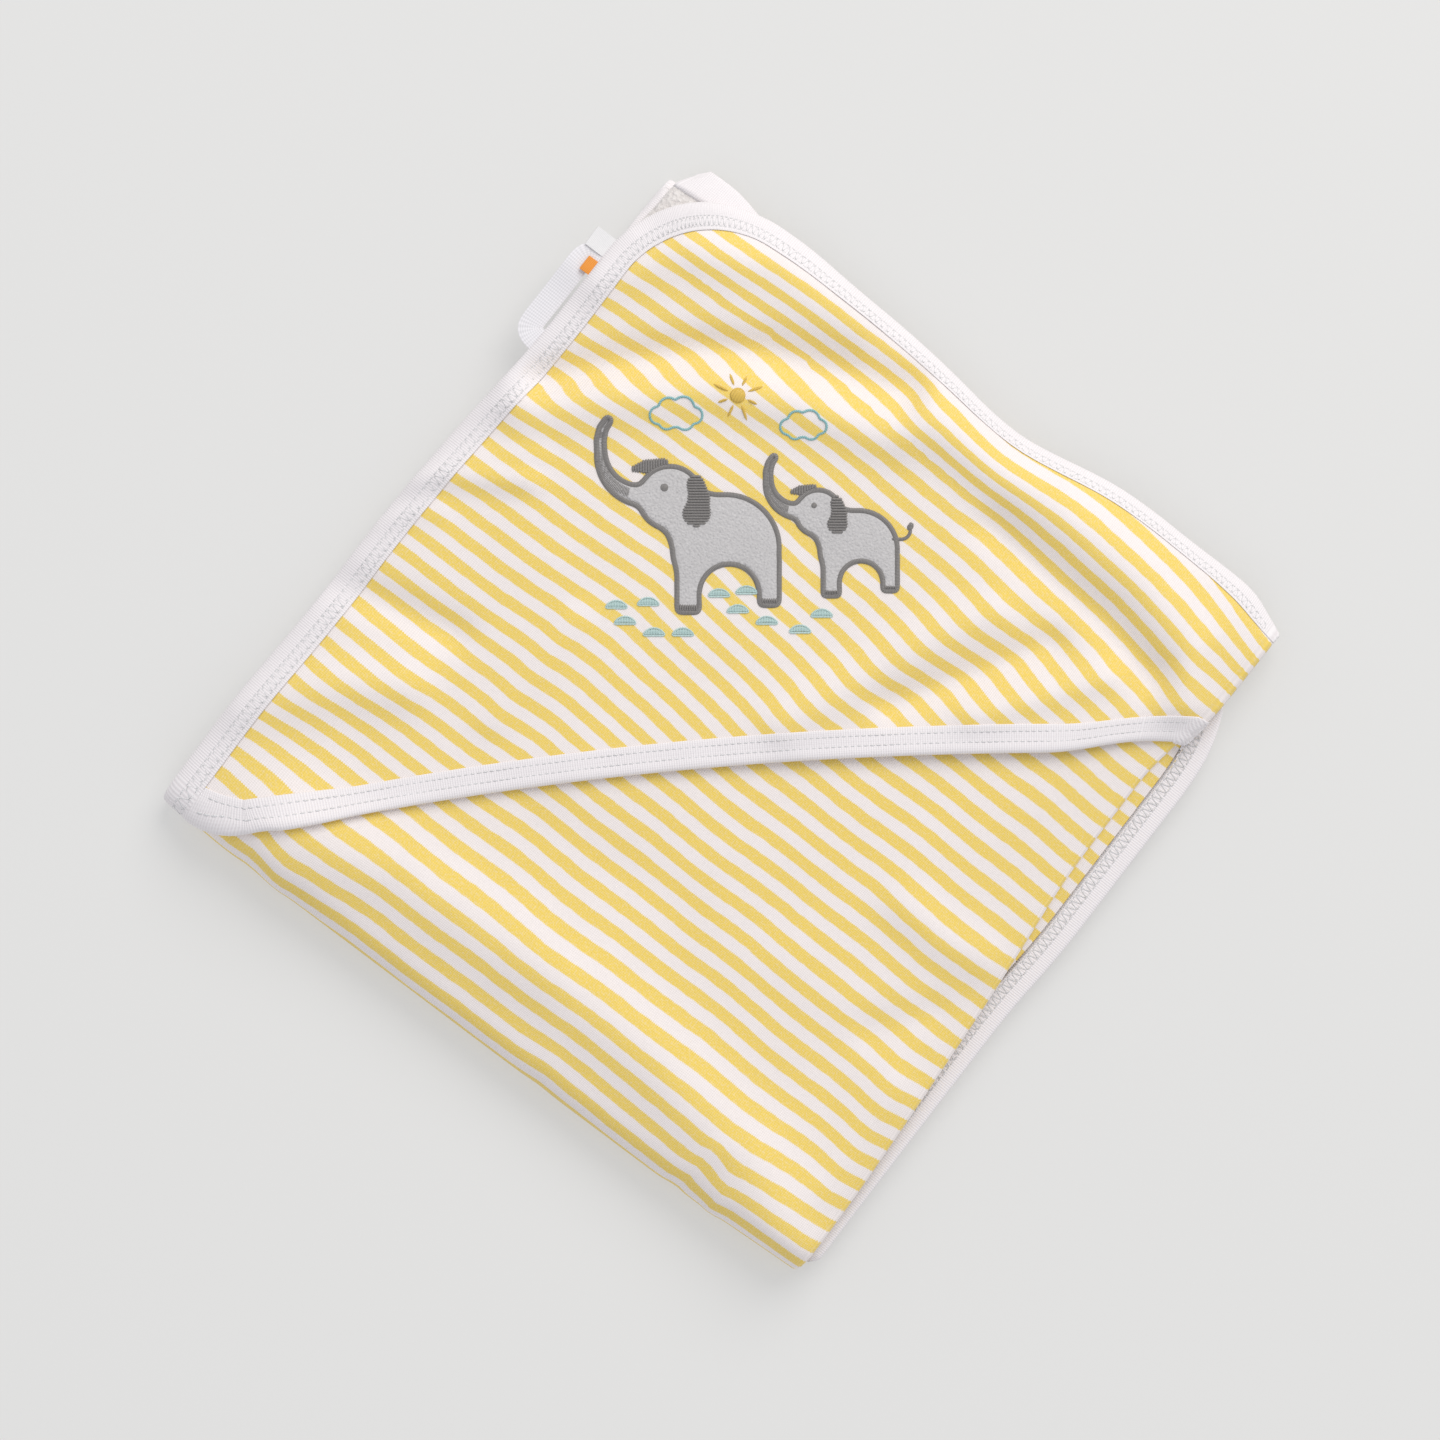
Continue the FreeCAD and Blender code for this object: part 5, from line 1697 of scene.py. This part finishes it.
@dataclass
class Elephant:
    """A plain round elephant in profile, sewn on in brushed cloth with a satin border."""

    name: str
    origin: tuple
    scale: float
    tail: bool = False
    border: float = 1.9
    body: tuple = (2.2, 22.7, 18.8)
    neck: tuple = (-9.0, 32.5, 10.5)
    head: tuple = (-17.5, 40.5, 11.0)
    trunk_centre: tuple = (-27.0, 56.0)
    trunk_radius: float = 14.75
    trunk_half: tuple = (4.2, 1.0)
    trunk_tip: tuple = ((-41.9, 60.5), (-40.9, 64.6), (-38.9, 67.6))
    eye: tuple = (-19.5, 44.0, 1.4)
    near_ear: tuple = ((-8.5, 45.3, 3.3), (-9.4, 34.8, 4.0), (-6.9, 34.9, 4.0), (-7.2, 40.5, 4.0))
    far_ear: tuple = ((-31.5, 50.4), (-26.0, 51.4), (-20.0, 52.4))
    toes: tuple = (((-14.2, 0.3), (-7.8, 3.0)), ((14.8, 2.8), (20.4, 5.2)))

    def trunk(self) -> list:
        """Middle line of the trunk from the face to its tip."""
        cross, up = self.trunk_centre
        return [(cross + self.trunk_radius * math.cos(turn), up + self.trunk_radius * math.sin(turn))
                for turn in np.radians(np.linspace(295, 180, 24))] + list(self.trunk_tip)

    def outline(self) -> Outline:
        """Side view of the animal."""
        path = self.trunk()
        whole = join(disc(*self.body), disc(*self.neck), disc(*self.head), soft=3.0)
        whole = join(whole, bar((-15, 0), (-7, 20), 1.4), bar((14, 2.5), (21, 20), 1.4), soft=1.0)
        whole = join(whole, ribbon(path, np.linspace(*self.trunk_half, len(path))), soft=2.4)
        return without(whole, join(disc(3.4, 6.5, 10.6), bar((-7.2, -25.0), (14.0, 6.8)), soft=0.5))

    def build(self, plan: PicturePlan) -> None:
        """Make the cloth, border, ears, eye and tail.

        Args:
            plan: Where the picture lies.
        """
        whole = self.outline()
        half = self.border / 2 / self.scale
        low, high = (-50.0, -6.0), (32.0, 76.0)
        cloth = Patch.cut(grown(whole, -half * 0.5), low, high, 0.9)
        patch = Stitchery(plan, self.origin, self.scale)
        patch.fill(cloth, -0.12, 0.22, 0.28, 2.2, grown(whole, -half * 0.5))
        patch.finish(f"{self.name}_cloth", Finish.FLEECE, f"{self.name}_fabric")

        border = Stitchery(plan, self.origin, self.scale)
        rim = Patch.cut(whole, low, high, 0.6)
        largest = max(range(len(rim.rims)), key=lambda number: len(rim.rims[number]))
        border.satin(rim.rim_line(largest, 0.24 / self.scale), half, 0.62)
        for low_foot, high_foot in self.toes:
            border.hatch(bar(low_foot, high_foot, 0.6), low_foot, high_foot, 0.8, 0.75, upright=True)
        path = np.array(self.trunk())[9:]
        reach = np.concatenate([[0], np.linalg.norm(np.diff(path, axis=0), axis=1).cumsum()])
        places = np.arange(0, reach[-1], 0.26 / self.scale)
        line = np.stack([np.interp(places, reach, path[:, 0]), np.interp(places, reach, path[:, 1])], axis=-1)
        narrow = np.linspace(1.0, 0.5, len(line))
        border.satin(line, 2.3, 0.5, closed=False, slant=0.15, widths=narrow)
        border.finish(f"{self.name}_border", Finish.GREY, f"{self.name}_outline")

        ear = Stitchery(plan, self.origin, self.scale)
        shape = join(*[disc(*lobe) for lobe in self.near_ear], soft=3.0)
        ear.hatch(shape, (-15, 29), (0, 50), 0.95 / self.scale, 0.98)
        ear.finish(f"{self.name}_ear_satin", Finish.GREY, f"{self.name}_near_ear")

        far = Stitchery(plan, self.origin, self.scale)
        shape = without(ribbon(self.far_ear, (0.9, 2.6, 2.2)), grown(whole, half * 0.3))
        far.hatch(shape, (-31, 38), (-8, 58), 0.9 / self.scale, 0.6, upright=True)
        far.finish(f"{self.name}_far_ear_satin", Finish.GREY, f"{self.name}_far_ear")

        eye = Stitchery(plan, self.origin, self.scale)
        shape = disc(*self.eye)
        eye.fill(Patch.cut(shape, low, high, 0.22), 0.3, 0.5, 0.5, 0.7, shape)
        eye.finish(f"{self.name}_eye_satin", Finish.GREY, f"{self.name}_eye")
        if self.tail:
            tail = Stitchery(plan, self.origin, self.scale)
            turn = np.radians(np.linspace(-90, 0, 32))
            line = np.concatenate([np.stack([np.linspace(18.5, 22.8, 18), np.full(18, 27.6)], axis=-1),
                                   np.stack([23 + 4.4 * np.cos(turn), 32.0 + 4.4 * np.sin(turn)], axis=-1)])
            tail.satin(line, 0.85, 0.5, closed=False)
            tuft = np.stack([np.full(24, 27.4), np.linspace(31.6, 35.8, 24)], axis=-1)
            tail.satin(tuft, 1.6, 0.55, closed=False, taper=8)
            tail.finish(f"{self.name}_tail_satin", Finish.GREY, f"{self.name}_tail")
        log.info("%s sewn on", self.name)


@dataclass
class Sky:
    """The sun and two clouds above the animals, in outline."""

    sun: tuple = (0.0, 75.5, 2.6)
    rays: int = 8
    clouds: tuple = ((-21.5, 69.0, 18.0), (22.5, 65.0, 15.84))
    puffs: tuple = ((-0.33, -0.02, 0.15), (-0.13, 0.12, 0.18), (0.15, 0.13, 0.19), (0.36, -0.02, 0.14),
                    (0.18, -0.13, 0.15), (-0.02, -0.10, 0.13), (-0.17, -0.13, 0.14), (0.0, 0.0, 0.20))

    def build(self, plan: PicturePlan) -> None:
        """Make both.

        Args:
            plan: Where the picture lies.
        """
        centre_a, centre_u, radius = self.sun
        sun = Stitchery(plan)
        shape = disc(centre_a, centre_u, radius)
        face = Patch.cut(shape, (centre_a - 4, centre_u - 4), (centre_a + 4, centre_u + 4), 0.3)
        sun.fill(face, -0.1, 0.3, 0.5, 1.2, shape)
        for ray in range(self.rays):
            turn = math.radians(45 * ray + 20)
            reach = radius * np.linspace(1.45, (3.5, 2.8, 3.1)[ray % 3], 22)
            line = np.stack([centre_a + reach * math.cos(turn), centre_u + reach * math.sin(turn)], axis=-1)
            sun.satin(line, 0.46, 0.5, closed=False, taper=6)
        sun.finish("sun_satin", Finish.GOLD, "sun")
        clouds = Stitchery(plan)
        for a, u, width in self.clouds:
            shape = join(*[disc(a + width * shift, u + width * rise, width * size + 0.3)
                           for shift, rise, size in self.puffs], soft=0.2)
            patch = Patch.cut(shape, (a - width, u - width), (a + width, u + width), 0.4)
            for number in range(len(patch.rims)):
                clouds.satin(patch.rim_line(number, 0.3), 0.42, 0.4, slant=0.8)
        clouds.finish("cloud_lines_satin", Finish.TEAL, "clouds")
        log.info("sun and clouds sewn on")


@dataclass
class Ground:
    """Half-moon tufts under the animals and the backing behind the picture."""

    tufts: tuple = ((-42.0, 2.0), (-31.0, 3.0), (-39.0, -3.5), (-29.0, -7.5), (-19.0, -7.5), (-6.5, 6.0),
                    (3.0, 7.0), (0.0, 0.5), (10.0, -3.5), (29.0, -1.0), (21.5, -6.5))
    radius: float = 3.7

    def build(self, plan: PicturePlan, animals: Sequence[Elephant]) -> None:
        """Make the tufts and the backing.

        Args:
            plan: Where the picture lies.
            animals: What stands on the ground.
        """
        def clear(a: Array, u: Array) -> Array:
            """Distance from the nearest animal."""
            return np.minimum.reduce([animal.outline()((a - animal.origin[0]) / animal.scale,
                                                       (u - animal.origin[1]) / animal.scale) * animal.scale
                                      for animal in animals])
        tufts = Stitchery(plan)
        for a, u in self.tufts:
            half_moon = without(disc(a, u - 1.6, self.radius + 0.6), bar((a - 9, u - 9), (a + 9, u)))
            shape = without(half_moon, grown(clear, 1.3))
            tufts.hatch(shape, (a - 5, u - 2), (a + 5, u + 5), 0.55, 0.45, upright=True)
            patch = Patch.cut(half_moon, (a - 5.5, u - 2), (a + 5.5, u + 5), 0.3)
            line = patch.rim_line(0, 0.3)
            line = line[(shape(line[:, 0], line[:, 1]) < 0.5)]
            if len(line) > 12:
                tufts.satin(line, 0.3, 0.5, closed=False, taper=2)
        tufts.finish("ground_tufts_satin", Finish.BLUE, "ground_tufts")
        backing = Stitchery(plan)
        shape = bar((-50.0, -8.0), (56.0, 74.0), 1.0)
        backing.fill(Patch.cut(shape, (-56, -12), (64, 84), 1.5), -0.62, -0.58, 0.0, 1.0, shape)
        backing.finish("picture_backing", Finish.BACKING, "embroidery_backing")
        log.info("ground and backing sewn on")


# ---- loop, label and tab ---------------------------------------------------------------------

@dataclass
class SideTapes:
    """The hanging loop, the care label and a plain coloured tab in the side seam."""

    seam_x: float = -133.8
    held: tuple = (-133.4, -137.2)
    seam_z: float = 18.4
    loop_middle: float = 79.5
    loop_half: float = 18.0
    loop_reach: float = 9.2
    loop_sewn: float = 4.6
    loop_tape: tuple = (8.4, 0.7)
    label_shape: tuple = (102.0, 7.6, 6.6, 0.32, 0.9)
    tab_shape: tuple = (93.0, 5.6, 2.9, 0.34, 0.2)

    def tape(self, name: str, centre: Array, across: Array, width: float, wall: float) -> bpy.types.Object:
        """Sweep a flat tape.

        Args:
            name: Name of the piece.
            centre: Rows of x, y, z down its middle.
            across: Unit vectors across it.
            width: Its width.
            wall: Its thickness.

        Returns:
            The object.
        """
        tangent = np.gradient(centre, axis=0)
        tangent /= np.linalg.norm(tangent, axis=1, keepdims=True)
        out = np.cross(tangent, across)
        out /= np.maximum(np.linalg.norm(out, axis=1, keepdims=True), 1e-9)
        section = [(share * 0.5, 0.5 * (1 - 0.35 * (abs(share) > 0.95))) for share in np.linspace(1, -1, 9)]
        section += [(-share, -rise) for share, rise in section]
        rows = [centre + across * (share * width) + out * (rise * wall) for share, rise in section]
        grid = np.stack(rows, axis=1)
        count, columns = grid.shape[:2]
        flat = grid.reshape(-1, 3)
        zero = np.zeros(len(flat))
        x, y, z = SETTLE.apply(np.maximum(flat[:, 0], -133.0), flat[:, 1], flat[:, 2], zero, zero, zero)
        x = x + np.minimum(flat[:, 0] + 133.0, 0.0)
        length = np.linalg.norm(np.diff(centre, axis=0, prepend=centre[:1]), axis=1).cumsum()
        side = np.array([share * width for share, _ in section])
        uv = np.stack(np.broadcast_arrays(side[None, :], length[:, None]), axis=-1) * MM
        faces = grid_faces(count, columns, wrap_columns=True)
        faces += [list(range(columns)), list(range((count - 1) * columns, count * columns))[::-1]]
        return make_mesh(name, np.stack([x, y, z], axis=-1) * MM, faces, uv, 50.0)

    def folded(self, name: str, middle: float, width: float, reach: float, gap: float,
               droop: float) -> bpy.types.Object:
        """Make a tape folded back on itself with both ends in the seam.

        Args:
            name: Name of the piece.
            middle: Its place along the seam.
            width: Its width.
            reach: How far it stands out.
            gap: Half the space between its two leaves.
            droop: How far its fold hangs.

        Returns:
            The object.
        """
        turn = np.radians(np.linspace(90, 270, 13))
        out = np.concatenate([np.linspace(-2.5, reach - gap, 12), reach - gap - gap * np.cos(turn),
                              np.linspace(reach - gap, -2.5, 12)])
        rise = np.concatenate([np.full(12, gap), gap * np.sin(turn), np.full(12, -gap)])
        hang = droop * smooth(out, -1.0, reach)
        centre = np.stack([self.seam_x - out, np.full(len(out), middle), self.seam_z + rise - hang], axis=-1)
        across = np.tile(np.array([[0.0, 1.0, 0.0]]), (len(out), 1))
        return self.tape(name, centre, across, width, 0.25)

    def build(self) -> None:
        """Make all three."""
        turn = np.linspace(-1, 1, 81)
        out = self.loop_reach * (1 - np.abs(turn) ** 7.0) - self.loop_sewn
        centre = np.stack([self.seam_x - out, self.loop_middle + self.loop_half * np.sin(turn * 1.52),
                           self.seam_z - 1.6 * smooth(out, -3, 5)], axis=-1)
        tangent = np.gradient(centre, axis=0)
        across = np.cross(tangent, np.array([[0.0, 0.0, 1.0]]))
        across /= np.linalg.norm(across, axis=1, keepdims=True)
        loop = self.tape("hanging_loop_tape", centre, across, *self.loop_tape)
        label = self.folded("care_label_ribbon", *self.label_shape)
        tab = self.folded("plain_tab_ribbon", *self.tab_shape)
        for piece, finish, body, node in ((loop, Finish.LOOP, "loop", "hanging_loop"),
                                          (label, Finish.LABEL, "label", "care_label"),
                                          (tab, Finish.TAB, "tab", "brand_tab")):
            finish.on(piece)
            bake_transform(piece)
            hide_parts(node)
        log.info("loop, label and tab sewn in")


# ---- studio --------------------------------------------------------------------------------------

@dataclass
class Studio:
    """Pale table that glows faintly as painted light, soft light from the back and a camera straight above."""

    view_width: float = 0.498
    look_at: tuple = (-0.0046, -0.0043)
    turn: float = 37.5
    height: float = 2.0
    towel_top: float = 0.020
    key_place: tuple = (-0.30, 2.15, 2.05)
    key_size: float = 2.3
    key_power: float = 50.0
    key_tone: tuple = (1.0, 0.975, 0.94)
    fill: float = 0.66
    painted_table_glow: float = 0.365

    def camera(self) -> None:
        """Set the camera above the packet."""
        data = bpy.data.cameras.new("camera")
        data.sensor_width = 36.0
        data.lens = data.sensor_width * (self.height - self.towel_top) / self.view_width
        camera = bpy.data.objects.new("camera", data)
        camera.location = (*self.look_at, self.height)
        camera.rotation_euler = (0.0, 0.0, math.radians(self.turn))
        bpy.context.scene.collection.objects.link(camera)
        bpy.context.scene.camera = camera

    def light(self, name: str, place: tuple, size: float, power: float, tone: tuple) -> None:
        """Hang one soft light aimed at the packet."""
        data = bpy.data.lights.new(name, "AREA")
        data.shape = "DISK"
        data.size = size
        data.energy = power
        data.color = tone
        lamp = bpy.data.objects.new(name, data)
        lamp.location = place
        away = np.array(place)
        lamp.rotation_euler = (math.atan2(math.hypot(away[0], away[1]), away[2]), 0.0,
                               math.atan2(away[1], away[0]) + math.pi / 2)
        bpy.context.scene.collection.objects.link(lamp)

    def floor(self) -> None:
        """Lay the pale table top; it glows faintly, painted light that lifts the shadows on it."""
        bpy.ops.object.select_all(action="DESELECT")
        bpy.ops.mesh.primitive_plane_add(size=6.0, location=(0.0, 0.0, -0.0002))
        table = bpy.context.object
        table.name = "table_top"
        bpy.ops.object.transform_apply(location=True, rotation=True, scale=True)

        def colour(graph: Graph) -> bpy.types.NodeSocket:
            """Warm white with the faintest cloud."""
            return graph.tint(graph.noise(graph.spot(), 1.5, 1.0), shade(172, 171, 168), shade(175, 174, 171))

        def height(graph: Graph) -> bpy.types.NodeSocket:
            """Nearly flat."""
            return graph.noise(graph.spot(), 300.0, 2.0)
        finish = dress("pale_table", colour, height, 0.00002, 0.9, strength=0.2)
        surface = next(node for node in finish.node_tree.nodes if node.type == "BSDF_PRINCIPLED")
        # painted light: the table top glows though it is no lamp, lifting the shadows cast on it
        surface.inputs["Emission Color"].default_value = (1.0, 1.0, 1.0, 1.0)
        surface.inputs["Emission Strength"].default_value = self.painted_table_glow
        table.data.materials.append(finish)

    def build(self) -> None:
        """Set everything up."""
        self.camera()
        self.floor()
        self.light("key", self.key_place, self.key_size, self.key_power, self.key_tone)
        world = bpy.data.worlds.new("studio")
        world.use_nodes = True
        bpy.context.scene.world = world
        back = world.node_tree.nodes["Background"]
        back.inputs["Color"].default_value = (0.93, 0.95, 1.0, 1.0)
        back.inputs["Strength"].default_value = self.fill
        bpy.context.scene.view_settings.view_transform = "Standard"
        log.info("studio ready")


def main() -> None:
    """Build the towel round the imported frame."""
    logging.basicConfig(level=logging.INFO, format="%(message)s")
    Studio().build()
    Shared.build()
    TowelCloths().build()
    Hood().build()
    EdgeBinding().build()
    plan = PicturePlan()
    large = Elephant("elephant_large", (-6.3, 0.6), 0.98)
    small = Elephant("elephant_small", (40.2, 6.3), 0.71, tail=True)
    for animal in (large, small):
        animal.build(plan)
    Sky().build(plan)
    Ground().build(plan, (large, small))
    SideTapes().build()


if __name__ == "__main__":
    main()
